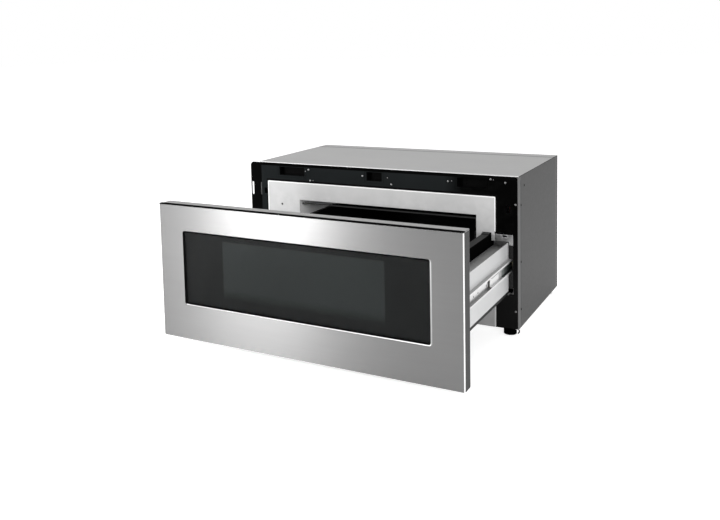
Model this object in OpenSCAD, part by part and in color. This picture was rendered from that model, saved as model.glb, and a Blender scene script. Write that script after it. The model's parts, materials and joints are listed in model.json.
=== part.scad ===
// Microwave drawer, drawn open, without a control panel.
// X runs to the object's right, Y to its back, Z up. The origin lies on the floor,
// at the middle of the box round the open drawer.

/* [Drawer front] */
// Width of the drawer front
door_w = 759; // [740:1:780]
// Height of the drawer front
door_h = 321; // [316:1:330]
// Thickness of the drawer front
door_t = 38; // [34:1:46]
// Gap between the bottom of the chassis and the bottom of the drawer front
door_lift = 1; // [0.5:0.5:4]
// Width of the front's frame beside the window
window_side = 69; // [62:1:100]
// Height of the front's frame above the window
window_above = 62; // [50:1:75]
// Height of the front's frame below the window
window_below = 84; // [70:1:95]
// Corner radius of the window opening
window_r = 9; // [4:1:16]
// Width of the screened area behind the glass
screen_w = 406; // [360:1:500]
// Height of the screened area behind the glass
screen_h = 136; // [110:1:140]

/* [Drawer] */
// Depth of the body that the drawer's travel leaves over
travel_spare = 48; // [46:1:80]
// Room above the tub's walls
tub_headroom = 57; // [50:1:90]
// Wall of the tub
tub_wall = 1.5; // [1.2:0.1:3]
// Height of the bracket's outer face
bracket_h = 117; // [105:1:120]
// Thickness of the bracket's sheet
bracket_t = 1.5; // [1.2:0.1:2]
// Height of the side rail
rail_h = 32; // [24:1:34]
// Width of the side rail
rail_w = 19; // [14:1:20]

/* [Slides] */
// Height of the slide's widest member
slide_h = 31; // [30:1:36]
// Thickness of a slide from bracket to carrier
slide_w = 10.2; // [10:0.1:11]
// Thickness of the slide's steel
slide_t = 1.2; // [1:0.1:1.4]
// Balls in each row of a cage
ball_count = 10; // [4:1:14]

/* [Chassis] */
// Reach of the body to the left of the drawer front's middle
body_left = 352; // [346:1:356]
// Reach of the body to the right of the drawer front's middle
body_right = 377; // [370:1:378]
// Height of the body without its feet
body_h = 369; // [360:1:385]
// Depth of the body behind the front flange
body_d = 386; // [386:1:480]
// Thickness of the body's sheet
sheet_t = 1.2; // [0.8:0.1:1.6]
// Reach of the mounting flange past the left side panel
flange_reach = 27; // [18:1:27]
// Corner radius of the mounting flange
flange_r = 10; // [4:1:14]
// Length of a mounting slot
slot_l = 36; // [20:1:44]
// Width of a mounting slot
slot_w = 6; // [5:0.5:7]
// Height of a foot
foot_h = 17; // [12:1:25]
// Diameter of a foot
foot_d = 31; // [24:1:34]

/* [Cavity] */
// Width of the cavity
cavity_w = 493; // [480:1:496]
// Height of the space above the cavity
deck_h = 94.8; // [94.8:0.1:104.8]
// Depth of the space behind the cavity
cavity_back = 40; // [39:1:46]
// Offset of the cavity's middle to the right
cavity_x = 29.5; // [28:0.5:31]
// Height of the cavity's floor above the bottom of the chassis
cavity_z = 52; // [51:1:56]

/* [Drive] */
// Module of the rack and its pinion
gear_module = 2; // [1.9:0.05:2]
// Teeth on the pinion
pinion_teeth = 12; // [12:1:13]

/* [Hidden] */
$fn = 32;

// Cutting tools reach this far past what they cut
over = 1;
// Gap between pieces that lie side by side
gap = 0.3;
// Gap between pieces that pass each other
pass = 2;

// Travel of the drawer from open to shut
travel = body_d - travel_spare;

// Stack of the front, from the flange's front plane forwards
flange_t = 1.5;
face_t = 4;
plate_t = 3;
closed_gap = 2.5;
plate_front = face_t + plate_t;
door_back = plate_front + closed_gap + travel;
door_front = door_back + door_t;

// Power inlet, which stands proud of the back
gland_proud = 6;
// Place of the front plane, so that the open drawer is centred on the origin
front_y = (door_front - body_d - gland_proud) / 2;

// Walls of the body
left_x = -body_left;
right_x = body_right;
body_z = [sheet_t, body_h - sheet_t];
inner_back = body_d - sheet_t;
// Middle of the slides and of the drive
mech_x = (left_x + right_x) / 2;

// Door
door_x = [-door_w / 2, door_w / 2];
door_z = [door_lift, door_lift + door_h];
skin_t = 1.2;
skin_return = 31;
skin_r = 4;
door_inset = 1.2;
seam_w = 9;
seam_h = 2.5;
body_wall = 2;
web_t = 1.5;
window_x = [door_x[0] + window_side, door_x[1] - window_side];
window_zz = [door_z[0] + window_below, door_z[1] - window_above];
glass_margin = 10;
glass_t = 4;
seal_t = 1.8;
ledge_w = 13;
screen_drop = 17;
inner_sheet_t = 1;
screen_z = [window_zz[1] - screen_drop - screen_h, window_zz[1] - screen_drop];
panel_t = 2;
skin_back = -door_front + skin_t;
glass_front = skin_back + seal_t;
glass_back = glass_front + glass_t;
door_cavity_back = -door_back - panel_t;

// Cavity and tub
liner_t = 1;
cavity_h = body_h - sheet_t - deck_h - liner_t - cavity_z;
cavity_d = body_d - cavity_back;
cavity_xx = [cavity_x - cavity_w / 2, cavity_x + cavity_w / 2];
cavity_zz = [cavity_z, cavity_z + cavity_h];
guide_t = 12;
guide_drop = 46;
guide_start = 14;
guide_end = 10;
tub_gap = 3;
tub_lift = 6;
tub_h = cavity_h - tub_lift - tub_headroom;
tub_floor_t = 2;
tub_r = 8;
tub_x = [cavity_xx[0] + guide_t + tub_gap, cavity_xx[1] - guide_t - tub_gap];
tub_z = [cavity_z + tub_lift, cavity_z + tub_lift + tub_h];
tub_y = [-door_back, cavity_d - guide_end - pass - travel];
tub_window_side = 10;
tub_window_x = [max(-screen_w / 2, tub_x[0] + tub_window_side), screen_w / 2];
tub_window_z = [screen_z[0], tub_z[1] - tub_window_side];
tray_margin = 6;
tray_t = 4.7;

// Slides, brackets and rails: distances run outwards from the middle of the slides
face_u = 341;
bracket_z = 94;
bracket_zz = [bracket_z, bracket_z + bracket_h];
shelf_drop = 14;
shelf_z = bracket_zz[1] - shelf_drop;
shelf_w = 60;
foot_flange_w = 25;
bracket_spare = 27;
bracket_len = travel + bracket_spare;
bracket_y = [-door_back, -door_back + bracket_len];
tab_len = 25;
rail_u = [face_u - shelf_w - over, face_u - shelf_w - over + rail_w];
rail_spare = 22;
rail_len = travel + rail_spare;
rail_y = [-door_back, -door_back + rail_len];
rail_end_l = 34;
rail_end_h = 2;
rail_wall = 3;
strip_w = 10;
strip_h = 8;
slide_rise = 47;
slide_z = [bracket_z + slide_rise, bracket_z + slide_rise + slide_h];
slide_mid = (slide_z[0] + slide_z[1]) / 2;
slide_spare = 12;
slide_len = travel + slide_spare;
slide_start = 10;
member_y = [slide_start, slide_start + slide_len];
drawer_member_gap = 3;
drawer_member_y = [drawer_member_gap - door_back, drawer_member_gap - door_back + slide_len];
lip_h = 3;
drawer_member_w = 8.5;
middle_u = 3.6;
middle_w = 5.2;
cabinet_w = 4.4;
ball_gap = 4;
ball_play = 0.05;
outer_ball_r = ball_gap / 2 - ball_play;
inner_ball_gap = 3.8;
inner_ball_r = inner_ball_gap / 2 - ball_play;
middle_h = slide_h - 2 * slide_t - 2 * ball_gap;
cabinet_h = middle_h - 2 * slide_t - 2 * inner_ball_gap;
carrier_u = face_u + slide_w;
carrier_t = 1.5;
carrier_wall_z = [100, 200];
tab_t = 1.5;
tab_w = carrier_u + carrier_t - face_u + shelf_w / 2 + pass;
tab_u = [carrier_u + carrier_t - tab_w, carrier_u + carrier_t];
tab_bar = 2;
tab_top_h = 21.5;
tab_z = [bracket_z - strip_h - pass - tab_bar, bracket_zz[1] + pass + tab_top_h];
oblong_w = 11;
oblong_h = 4.5;
oblong_in = 3;
oblong_drop = 9;
side_hole_z = [bracket_z - strip_h - pass, tab_z[1] - pass];
side_hole_u = [rail_u[0] - 2 * pass, carrier_u + carrier_t + over];
notch_u = [rail_u[0] - pass, rail_u[1] + pass];
notch_top = shelf_z + rail_h + rail_end_h + over;

// Front
front_top_gap = 5;
flange_top = body_h - sheet_t - gap;
flange_x = [left_x - flange_reach, right_x - sheet_t - gap];
face_left_gap = 11;
face_x = [left_x + face_left_gap, right_x - sheet_t - gap];
face_z = [3, body_h - front_top_gap];
face_corner = 4;
plate_left = 22;
plate_right = 52;
plate_low = 2;
plate_top = 50;
plate_x = [face_x[0] + plate_left, face_x[1] - plate_right];
plate_z = [plate_low, body_h - plate_top];
plate_r = 4;
liner_pass = 3;
slot_in = 6;
slot_low = 67;
slot_high = 75;
slot_z = [slot_low, body_h - slot_high];
inner_slot_in = 6;
recess_h = 23;
recess_drop = 10;
recess_z = [body_h - recess_drop - recess_h, body_h - recess_drop];
// Sides of the recesses, as shares of the face's width
recess_shares = [[0.082, 0.1925], [0.451, 0.512], [0.7925, 0.8935]];
recess_x = [for (share = recess_shares) [
    face_x[0] + share[0] * (face_x[1] - face_x[0]),
    face_x[0] + share[1] * (face_x[1] - face_x[0])]];
socket_d = 12;
socket_wall = 2;

// Drive
pitch_r = gear_module * pinion_teeth / 2;
pinion_w = 12;
pinion_y = 30;
rack_drop = 16;
rack_z = cavity_z - rack_drop;
rack_h = 10;
rack_w = 14;
rack_overhang = 12;
rack_y = [-door_back, pinion_y + rack_overhang];
rack_addendum = 0.65 * gear_module;
dedendum = 1.15 * gear_module;
pressure_angle = 20;
tooth_play = 0.2;
shaft_r = 3;
motor_r = 17;
motor_l = 46;
motor_gap = 2;
rack_guide_l = 40;
rack_guide_wall = 4;
motor_x = mech_x + rack_w / 2 + rack_guide_wall + gap + motor_gap;

// Parts above the cavity
deck_z = cavity_zz[1] + liner_t;
stirrer_off = 49.5;
stirrer_x = cavity_x - stirrer_off;
stirrer_y = cavity_d / 2 + pass;
stirrer_shaft_r = 3;
stirrer_reach = 34;
stirrer_w = 14;
stirrer_drop = 8;
cover_r = 62;
cover_h = 20;
cover_t = 1.5;
magnetron_off = 110.5;
magnetron_x = cavity_x + magnetron_off;
guide_side = 45;
guide_x = [stirrer_x - guide_side - stirrer_w, magnetron_x + guide_side];
guide_y = [stirrer_y - guide_side, stirrer_y + guide_side];
guide_h = 30;
guide_sheet = 1.2;
fan_size = 84;
fan_side = 55;
fan_top = 7;
fan_x = left_x + fan_side + fan_size / 2;
fan_z = body_h - fan_top - fan_size / 2;
fan_d = 26;
fan_wall = 2;
fan_r = 38;
hub_r = 16;
blade_t = 2;
blade_gap = 1.5;
board_t = 1.6;
post_h = 8;
post_r = 3;
inlet_side = 36;
inlet_x = cavity_xx[1] - inlet_side;
inlet_z = fan_z;
inlet_r = 8;
inlet_bore_r = 4.5;

// Interlock
hook_side = 38.5;
hook_in = 22;
hook_drop = 32;
// The hooks lie inside the door and inside the body, whichever is narrower
hook_u = min(door_w / 2 - hook_side, (right_x - left_x) / 2 - hook_in);
hook_z = door_z[1] - hook_drop;
hook_t = 3;
hook_h = 12;
hook_l = 30;
plunger_r = 2;
plunger_l = 6;
switch_w = 10;
switch_h = 20;
switch_d = 22;
plunger_seat = 0.05;
hook_slot = 4;

module placed() {
    translate([0, front_y, foot_h])
        children();
}

module on_side(s) {
    translate([mech_x, 0, 0])
        mirror([s < 0 ? 1 : 0, 0, 0])
            children();
}

module block(x, y, z) {
    translate([x[0], y[0], z[0]])
        cube([x[1] - x[0], y[1] - y[0], z[1] - z[0]]);
}

module round_rect(x, z, r) {
    translate([x[0] + r, z[0]])
        square([x[1] - x[0] - 2 * r, z[1] - z[0]]);
    translate([x[0], z[0] + r])
        square([x[1] - x[0], z[1] - z[0] - 2 * r]);
    for (cx = [x[0] + r, x[1] - r], cz = [z[0] + r, z[1] - r])
        translate([cx, cz])
            circle(r);
}

// Plate with round corners that lies in X and Z and is y thick
module upright(x, y, z, r) {
    translate([0, y[1], 0])
        rotate([90, 0, 0])
            linear_extrude(y[1] - y[0])
                round_rect(x, z, r);
}

// Plate with round corners that lies in X and Y and is z thick
module level(x, y, z, r) {
    translate([0, 0, z[0]])
        linear_extrude(z[1] - z[0])
            round_rect(x, y, r);
}

module rod_x(x, y, z, r) {
    translate([x[0], y, z])
        rotate([0, 90, 0])
            cylinder(h = x[1] - x[0], r = r);
}

module rod_y(x, y, z, r) {
    translate([x, y[1], z])
        rotate([90, 0, 0])
            cylinder(h = y[1] - y[0], r = r);
}

module rod_z(x, y, z, r) {
    translate([x, y, z[0]])
        cylinder(h = z[1] - z[0], r = r);
}

// Slot upright in the front sheets
module slot_cut(x, z, w, l, y) {
    reach = (l - w) / 2;
    block([x - w / 2, x + w / 2], y, [z - reach, z + reach]);
    rod_y(x, y, z - reach, w / 2);
    rod_y(x, y, z + reach, w / 2);
}

// Slot lying down in the front sheets
module slot_cut_level(x, z, l, w, y) {
    reach = (l - w) / 2;
    block([x - reach, x + reach], y, [z - w / 2, z + w / 2]);
    rod_y(x - reach, y, z, w / 2);
    rod_y(x + reach, y, z, w / 2);
}

function grow(r, d) = [r[0] - d, r[1] + d];
function middle(r) = (r[0] + r[1]) / 2;
function spread(r, n, i) = r[0] + (r[1] - r[0]) * (i + 0.5) / n;

// Openings that the flange and the face share
module front_openings(y) {
    block(grow(cavity_xx, liner_pass), y, grow(cavity_zz, liner_pass));
    block(grow([mech_x - rack_w / 2, mech_x + rack_w / 2], pass), y,
        [rack_z - dedendum - pass, rack_z + rack_h + pass]);
    for (s = [-1, 1])
        on_side(s) {
            block(side_hole_u, y, side_hole_z);
            block([hook_u - hook_slot, hook_u + hook_slot], y,
                grow([hook_z - hook_h / 2, hook_z + hook_h / 2], pass));
        }
    for (x = recess_x)
        block(x, y, recess_z);
}

/* Chassis */

foot_u = 338;
foot_inset = 20;
foot_y = [foot_inset, body_d - foot_inset];
pan_lip = 10;
vent_w = 3;
vent_l = 26;
vent_pitch = 9;
foot_screw_r = 2.5;

module base_pan() {
    color("dimgray")
        placed()
            difference() {
                union() {
                    block([left_x, right_x], [flange_t, body_d], [0, sheet_t]);
                    block([left_x + sheet_t, right_x - sheet_t],
                        [inner_back - sheet_t - gap, inner_back - gap], [0, pan_lip]);
                }
                for (s = [-1, 1], y = foot_y)
                    on_side(s)
                        rod_z(foot_u, y, [-over, sheet_t + over], foot_screw_r);
                for (i = [0:11])
                    block([left_x + 3 * pan_lip + i * vent_pitch,
                        left_x + 3 * pan_lip + i * vent_pitch + vent_w],
                        [body_d / 3, body_d / 3 + vent_l], [-over, sheet_t + over]);
            }
}

side_screw_y = 22;
side_screw_shares = [0.122, 0.436, 0.808];
top_screw_y = 50;
top_screw_drop = 28;
side_band = 18;
side_groove_w = 1.6;
side_groove_d = 0.5;
screw_head_r = 2.6;
screw_head_h = 1.2;
screw_r = 1.5;
side_fold = 9;

module side_screw_places() {
    for (share = side_screw_shares)
        translate([0, side_screw_y, share * body_h])
            children();
    translate([0, top_screw_y, body_h - top_screw_drop])
        children();
}

module side_sheet(x, s) {
    front = s > 0 ? -face_t : flange_t;
    skin_x = s > 0 ? x + sheet_t - side_groove_d : x - over;
    difference() {
        block([x, x + sheet_t], [front, inner_back], body_z);
        block([skin_x, skin_x + side_groove_d + over], [side_band, side_band + side_groove_w],
            [body_z[0] + pan_lip, body_z[1] - pan_lip]);
        side_screw_places()
            rod_x([x - over, x + sheet_t + over], 0, 0, screw_r + gap);
        if (s < 0)
            for (i = [0:9])
                block([x - over, x + sheet_t + over],
                    [inner_back - 4 * side_fold - i * vent_pitch,
                    inner_back - 4 * side_fold - i * vent_pitch + vent_w],
                    [body_h / 8, body_h / 8 + vent_l]);
    }
}

module left_side_panel() {
    color("dimgray")
        placed()
            side_sheet(left_x, -1);
}

module right_side_panel() {
    color("dimgray")
        placed()
            side_sheet(right_x - sheet_t, 1);
}

groove_w = 2;
groove_d = 0.6;
groove_back = 16;
top_lip = 12;

module top_panel() {
    color("silver")
        placed()
            difference() {
                block([left_x, right_x], [0, body_d], [body_z[1], body_h]);
                block([left_x + top_lip, right_x - top_lip],
                    [body_d - groove_back - groove_w, body_d - groove_back],
                    [body_h - groove_d, body_h + over]);
            }
}

module back_panel() {
    color("silver")
        placed()
            difference() {
                block([left_x, right_x], [inner_back, body_d], body_z);
                rod_y(inlet_x, [inner_back - over, body_d + over], inlet_z, inlet_r + gap);
                for (i = [-4:4])
                    block([fan_x - fan_r * cos(asin(i * vent_pitch / fan_r)),
                        fan_x + fan_r * cos(asin(i * vent_pitch / fan_r))],
                        [inner_back - over, body_d + over],
                        [fan_z + i * vent_pitch - vent_w, fan_z + i * vent_pitch + vent_w]);
                for (i = [0:13])
                    block([right_x / 2 + i * vent_pitch, right_x / 2 + i * vent_pitch + vent_w],
                        [inner_back - over, body_d + over],
                        [body_h / 8, body_h / 8 + vent_l]);
            }
}

module front_flange() {
    color("black")
        placed()
            difference() {
                upright(flange_x, [0, flange_t], [0, flange_top], flange_r);
                front_openings([-over, flange_t + over]);
                for (z = slot_z) {
                    slot_cut(flange_x[0] + slot_in, z, slot_w, slot_l,
                        [-over, flange_t + over]);
                    slot_cut(left_x + inner_slot_in, z, slot_w, slot_l,
                        [-over, flange_t + over]);
                }
            }
}

// Screws of the face, as shares of its width and height
face_screw_shares = [
    [0.211, 0.975],
    [0.2175, 0.8945],
    [0.436, 0.9535],
    [0.5495, 0.907],
    [0.761, 0.956],
    [0.9105, 0.9875],
    [0.9605, 0.971],
    [0.994, 0.1185],
    [0.994, 0.83]];
face_screw_places = [for (share = face_screw_shares) [
    face_x[0] + share[0] * (face_x[1] - face_x[0]),
    face_z[0] + share[1] * (face_z[1] - face_z[0])]];

module front_face() {
    color([0.1, 0.1, 0.1])
        placed()
            difference() {
                upright(face_x, [-face_t, 0], face_z, face_corner);
                front_openings([-face_t - over, over]);
                for (p = face_screw_places)
                    rod_y(p[0], [-face_t - over, over], p[1], screw_r + gap);
            }
}

module face_screws() {
    color("gray")
        placed()
            for (p = face_screw_places) {
                rod_y(p[0], [-face_t - screw_head_h, -face_t], p[1], screw_head_r);
                rod_y(p[0], [-face_t, 0], p[1], screw_r);
            }
}

module side_screws() {
    color("gray")
        placed() {
            side_screw_places() {
                rod_x([right_x - sheet_t - face_t, right_x], 0, 0, screw_r);
                rod_x([right_x, right_x + screw_head_h], 0, 0, screw_head_r);
            }
            side_screw_places() {
                rod_x([left_x, left_x + sheet_t + face_t], 0, 0, screw_r);
                rod_x([left_x - screw_head_h, left_x], 0, 0, screw_head_r);
            }
        }
}

module face_plate() {
    color([0.8, 0.8, 0.8])
        placed()
            difference() {
                upright(plate_x, [-plate_front, -face_t], plate_z, plate_r);
                block(cavity_xx, [-plate_front - over, -face_t + over], cavity_zz);
                block(grow([mech_x - rack_w / 2, mech_x + rack_w / 2], pass),
                    [-plate_front - over, -face_t + over],
                    [rack_z - dedendum - pass, rack_z + rack_h + pass]);
                for (s = [-1, 1])
                    on_side(s) {
                        block(notch_u, [-plate_front - over, -face_t + over],
                            [shelf_z - bracket_t - pass, notch_top]);
                        block([notch_u[1] - pass, face_u], [-plate_front - over, -face_t + over],
                            [tab_z[0] - gap, bracket_zz[1] + pass]);
                        block([tab_u[0] - gap, face_u], [-plate_front - over, -face_t + over],
                            grow(tab_z, gap));
                    }
            }
}

module cavity_liner() {
    outer_x = grow(cavity_xx, liner_t);
    outer_z = grow(cavity_zz, liner_t);
    color([0.75, 0.75, 0.75])
        placed()
            difference() {
                block(outer_x, [-face_t, cavity_d + liner_t], outer_z);
                block(cavity_xx, [-face_t - over, cavity_d], cavity_zz);
                rod_z(stirrer_x, stirrer_y, [cavity_zz[1] - over, outer_z[1] + over],
                    stirrer_reach);
            }
}

module cavity_side_guides() {
    top = cavity_zz[1] - guide_drop;
    color([0.06, 0.06, 0.06])
        placed()
            for (x = [[cavity_xx[0], cavity_xx[0] + guide_t],
                    [cavity_xx[1] - guide_t, cavity_xx[1]]])
                block(x, [guide_start, cavity_d - guide_end], [cavity_z, top]);
}

/* Slides */

// Channel that opens outwards, from u0, w deep, over the heights z
module channel(u0, w, z, y, t) {
    block([u0, u0 + t], y, z);
    block([u0, u0 + w], y, [z[0], z[0] + t]);
    block([u0, u0 + w], y, [z[1] - t, z[1]]);
}

function about(h) = [slide_mid - h / 2, slide_mid + h / 2];
rivet_r = 2.6;
rivet_share = [0.06, 0.5, 0.94];

module drawer_member() {
    difference() {
        union() {
            channel(face_u, drawer_member_w, slide_z, drawer_member_y, slide_t);
            for (z = [[slide_z[0], slide_z[0] + lip_h + slide_t],
                    [slide_z[1] - lip_h - slide_t, slide_z[1]]])
                block([face_u + drawer_member_w - slide_t, face_u + drawer_member_w],
                    drawer_member_y, z);
        }
        for (share = rivet_share)
            rod_x([face_u - over, face_u + slide_t + over],
                drawer_member_y[0] + slide_len * share, slide_mid, rivet_r);
    }
}

module drawer_members() {
    color("silver")
        placed()
            for (s = [-1, 1])
                on_side(s)
                    drawer_member();
}

module middle_member(s) {
    color("lightgray")
        placed()
            on_side(s)
                translate([0, -travel / 2, 0])
                    channel(face_u + middle_u, middle_w, about(middle_h), member_y, slide_t);
}

module middle_member_left() {
    middle_member(-1);
}

module middle_member_right() {
    middle_member(1);
}

module cabinet_members() {
    z = about(cabinet_h);
    color("silver")
        placed()
            for (s = [-1, 1])
                on_side(s) {
                    block([carrier_u - slide_t, carrier_u], member_y, z);
                    block([carrier_u - cabinet_w, carrier_u], member_y, [z[0], z[0] + slide_t]);
                    block([carrier_u - cabinet_w, carrier_u], member_y, [z[1] - slide_t, z[1]]);
                }
}

cage_t = 0.6;
cage_finger = 2;
cage_len = 150;

// Cage with a row of balls above and below: plate at u, balls at ball_u
module ball_cage(u, ball_u, ball_z, ball_r, y0) {
    block([u, u + cage_t], [y0, y0 + cage_len], about(2 * ball_z + cage_finger));
    for (i = [0:ball_count - 1], side = [-1, 1]) {
        y = spread([y0, y0 + cage_len], ball_count, i);
        z = slide_mid + side * ball_z;
        block([u, ball_u], [y - cage_finger / 2, y + cage_finger / 2],
            [z - cage_finger / 2, z + cage_finger / 2]);
        translate([ball_u, y, z])
            sphere(ball_r);
    }
}

outer_ball_z = (middle_h + ball_gap) / 2;
inner_ball_z = (cabinet_h + inner_ball_gap) / 2;

module outer_ball_cages() {
    color("gold")
        placed()
            for (s = [-1, 1])
                on_side(s)
                    ball_cage(face_u + slide_t + gap, face_u + middle_u + slide_t + ball_play,
                        outer_ball_z, outer_ball_r, -cage_len - over);
}

module inner_ball_cages() {
    color("gold")
        placed()
            for (s = [-1, 1])
                on_side(s)
                    ball_cage(face_u + middle_u + slide_t + ball_play,
                        face_u + middle_u + middle_w - inner_ball_r / 2, inner_ball_z,
                        inner_ball_r, member_y[0] + over);
}

module slide_carrier(s) {
    wall_u = [carrier_u, carrier_u + carrier_t];
    tab_y = [-face_t - tab_t, -face_t];
    color([0.82, 0.83, 0.84])
        placed()
            on_side(s) {
                block(wall_u, [-face_t - tab_t, inner_back], carrier_wall_z);
                difference() {
                    block(tab_u, tab_y, tab_z);
                    block([tab_u[0] - over, face_u + pass], grow(tab_y, over),
                        [bracket_z - strip_h - pass, tab_z[1] - tab_top_h]);
                    block([tab_u[0] - over, carrier_u], grow(tab_y, over),
                        grow(slide_z, over));
                    slot_cut_level(face_u - oblong_in - oblong_w / 2, tab_z[1] - oblong_drop,
                        oblong_w, oblong_h, grow(tab_y, over));
                }
            }
}

module slide_carrier_left() {
    slide_carrier(-1);
}

module slide_carrier_right() {
    slide_carrier(1);
}

/* Drawer */

bracket_hole_share = [0.25, 0.75];
bracket_screw_r = 2;

module bracket(s) {
    inner_u = face_u - bracket_t;
    color([0.92, 0.93, 0.94])
        placed()
            on_side(s)
                difference() {
                    union() {
                        block([inner_u, face_u], bracket_y, bracket_zz);
                        block([face_u - shelf_w, face_u], bracket_y,
                            [shelf_z - bracket_t, shelf_z]);
                        block([face_u - foot_flange_w, face_u], bracket_y,
                            [bracket_z, bracket_z + bracket_t]);
                        block([inner_u - tab_len, face_u],
                            [-door_back, -door_back + bracket_t],
                            [bracket_z, shelf_z]);
                    }
                    for (share = bracket_hole_share)
                        rod_y(inner_u - tab_len / 2,
                            [-door_back - over, -door_back + bracket_t + over],
                            bracket_z + bracket_h * share, bracket_screw_r + gap);
                    for (share = rivet_share)
                        rod_x([inner_u - over, face_u + over],
                            drawer_member_y[0] + slide_len * share, slide_mid,
                            bracket_screw_r + gap);
                }
}

module bracket_left() {
    bracket(-1);
}

module bracket_right() {
    bracket(1);
}

module side_rails() {
    z = [shelf_z, shelf_z + rail_h];
    color([0.05, 0.05, 0.05])
        placed()
            for (s = [-1, 1])
                on_side(s)
                    difference() {
                        union() {
                            block(rail_u, rail_y, z);
                            block(rail_u, [rail_y[1] - rail_end_l, rail_y[1]],
                                [z[0], z[1] + rail_end_h]);
                        }
                        block([rail_u[0] + rail_wall, rail_u[1] - rail_wall],
                            grow(rail_y, -rail_wall), [z[0] - over, z[1] - rail_wall]);
                    }
}

module bracket_strips() {
    color([0.08, 0.08, 0.08])
        placed()
            for (s = [-1, 1])
                on_side(s)
                    block([face_u - strip_w, face_u - gap], bracket_y,
                        [bracket_z - strip_h, bracket_z]);
}

module drawer_screws() {
    inner_u = face_u - bracket_t;
    color("gray")
        placed()
            for (s = [-1, 1])
                on_side(s) {
                    for (share = bracket_hole_share) {
                        rod_y(inner_u - tab_len / 2,
                            [-door_back, -door_back + bracket_t],
                            bracket_z + bracket_h * share, bracket_screw_r);
                        rod_y(inner_u - tab_len / 2,
                            [-door_back + bracket_t, -door_back + bracket_t + 2 * screw_head_h],
                            bracket_z + bracket_h * share, 2 * bracket_screw_r);
                    }
                    for (share = rivet_share) {
                        rod_x([inner_u, face_u + slide_t], drawer_member_y[0] + slide_len * share,
                            slide_mid, bracket_screw_r);
                        rod_x([inner_u - screw_head_h, inner_u],
                            drawer_member_y[0] + slide_len * share, slide_mid,
                            2 * bracket_screw_r);
                    }
                }
}

module door_skin() {
    y = [-door_front, -door_front + skin_return];
    color([0.72, 0.71, 0.7])
        placed()
            difference() {
                level(door_x, [y[0], y[1] + 2 * skin_r], door_z, skin_r);
                level(grow(door_x, -skin_t), [y[0] + skin_t, y[1] + 3 * skin_r],
                    grow(door_z, over), skin_r - skin_t);
                block(grow(door_x, over), [y[1], y[1] + 3 * skin_r], grow(door_z, over));
                upright(window_x, [y[0] - over, y[0] + skin_t + over], window_zz, window_r);
            }
}

// Dark strip between the skin and the door's body, along the top
module door_seam() {
    x = grow(door_x, -skin_t - gap - skin_r);
    z = [door_z[1] - door_inset - seam_h, door_z[1] - door_inset];
    color([0.04, 0.04, 0.04])
        placed()
            block(x, [skin_back, skin_back + seam_w], z);
}

module door_body() {
    x = grow(door_x, -skin_t - gap);
    z = grow(door_z, -door_inset);
    glass_x = grow(window_x, glass_margin + gap);
    glass_z = grow(window_zz, glass_margin + gap);
    ledge_x = grow(window_x, glass_margin + ledge_w);
    ledge_z = grow(window_zz, glass_margin + ledge_w);
    color([0.5, 0.5, 0.5])
        placed()
            difference() {
                level(x, [skin_back, -door_back], z, skin_r - skin_t);
                block(grow(x, over), [skin_back - over, skin_back + seam_w],
                    [z[1] - seam_h, z[1] + over]);
                difference() {
                    block(grow(x, -body_wall), [skin_back + web_t, -door_back + over],
                        [z[0] + body_wall, z[1] - body_wall - seam_h]);
                    block(ledge_x, [skin_back, door_cavity_back], ledge_z);
                }
                block(grow(ledge_x, -body_wall), [glass_back + body_wall, -door_back + over],
                    grow(ledge_z, -body_wall));
                upright(grow(window_x, over), [skin_back - over, -door_back + over],
                    grow(window_zz, over), window_r);
                upright(glass_x, [skin_back - over, glass_back], glass_z, window_r);
            }
}

module window_glass() {
    color([0.16, 0.17, 0.17])
        placed()
            upright(grow(window_x, glass_margin), [glass_front, glass_back],
                grow(window_zz, glass_margin), window_r);
}

seal_in = 0.8;

module glass_seal() {
    color([0.03, 0.03, 0.03])
        placed()
            difference() {
                upright(grow(window_x, glass_margin), [skin_back, glass_front],
                    grow(window_zz, glass_margin), window_r);
                upright(grow(window_x, seal_in), [skin_back - over, glass_front + over],
                    grow(window_zz, seal_in), window_r);
            }
}

module window_screen() {
    x = grow(window_x, glass_margin + ledge_w - body_wall - gap);
    z = grow(window_zz, glass_margin + ledge_w - body_wall - gap);
    y = [glass_back + body_wall, glass_back + body_wall + inner_sheet_t];
    color([0.25, 0.26, 0.26])
        placed()
            difference() {
                union() {
                    block(x, y, z);
                    block(grow([-screen_w / 2, screen_w / 2], body_wall),
                        [y[0], door_cavity_back], grow(screen_z, body_wall));
                }
                block([-screen_w / 2, screen_w / 2], [y[0] + inner_sheet_t,
                    door_cavity_back + over], screen_z);
            }
}

module inner_door_panel() {
    color([0.8, 0.8, 0.8])
        placed()
            difference() {
                block(grow(door_x, -skin_t - body_wall - 2 * gap), [door_cavity_back, -door_back],
                    [door_z[0] + door_inset + body_wall + gap,
                    door_z[1] - door_inset - body_wall - seam_h - gap]);
                block([-screen_w / 2, screen_w / 2],
                    [door_cavity_back - over, -door_back + over], screen_z);
            }
}

choke_w = 24;

module choke_cover() {
    color([0.1, 0.1, 0.1])
        placed()
            difference() {
                upright(grow(tub_x, choke_w), [-door_back, -door_back + closed_gap - gap],
                    [tub_z[0] - choke_w / 2, tub_z[1] + choke_w], plate_r);
                block(grow(tub_x, gap), [-door_back - over, -door_back + closed_gap],
                    grow(tub_z, gap));
            }
}

module drawer_tub() {
    inner_x = grow(tub_x, -tub_wall);
    inner_y = [tub_y[0] + tub_wall, tub_y[1] - tub_wall];
    color([0.05, 0.05, 0.05])
        placed()
            difference() {
                level(tub_x, tub_y, tub_z, tub_r);
                level(inner_x, inner_y, [tub_z[0] + tub_floor_t, tub_z[1] + over],
                    tub_r - tub_wall);
                block(tub_window_x, [tub_y[0] - over, inner_y[0] + over], tub_window_z);
            }
}

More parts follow.
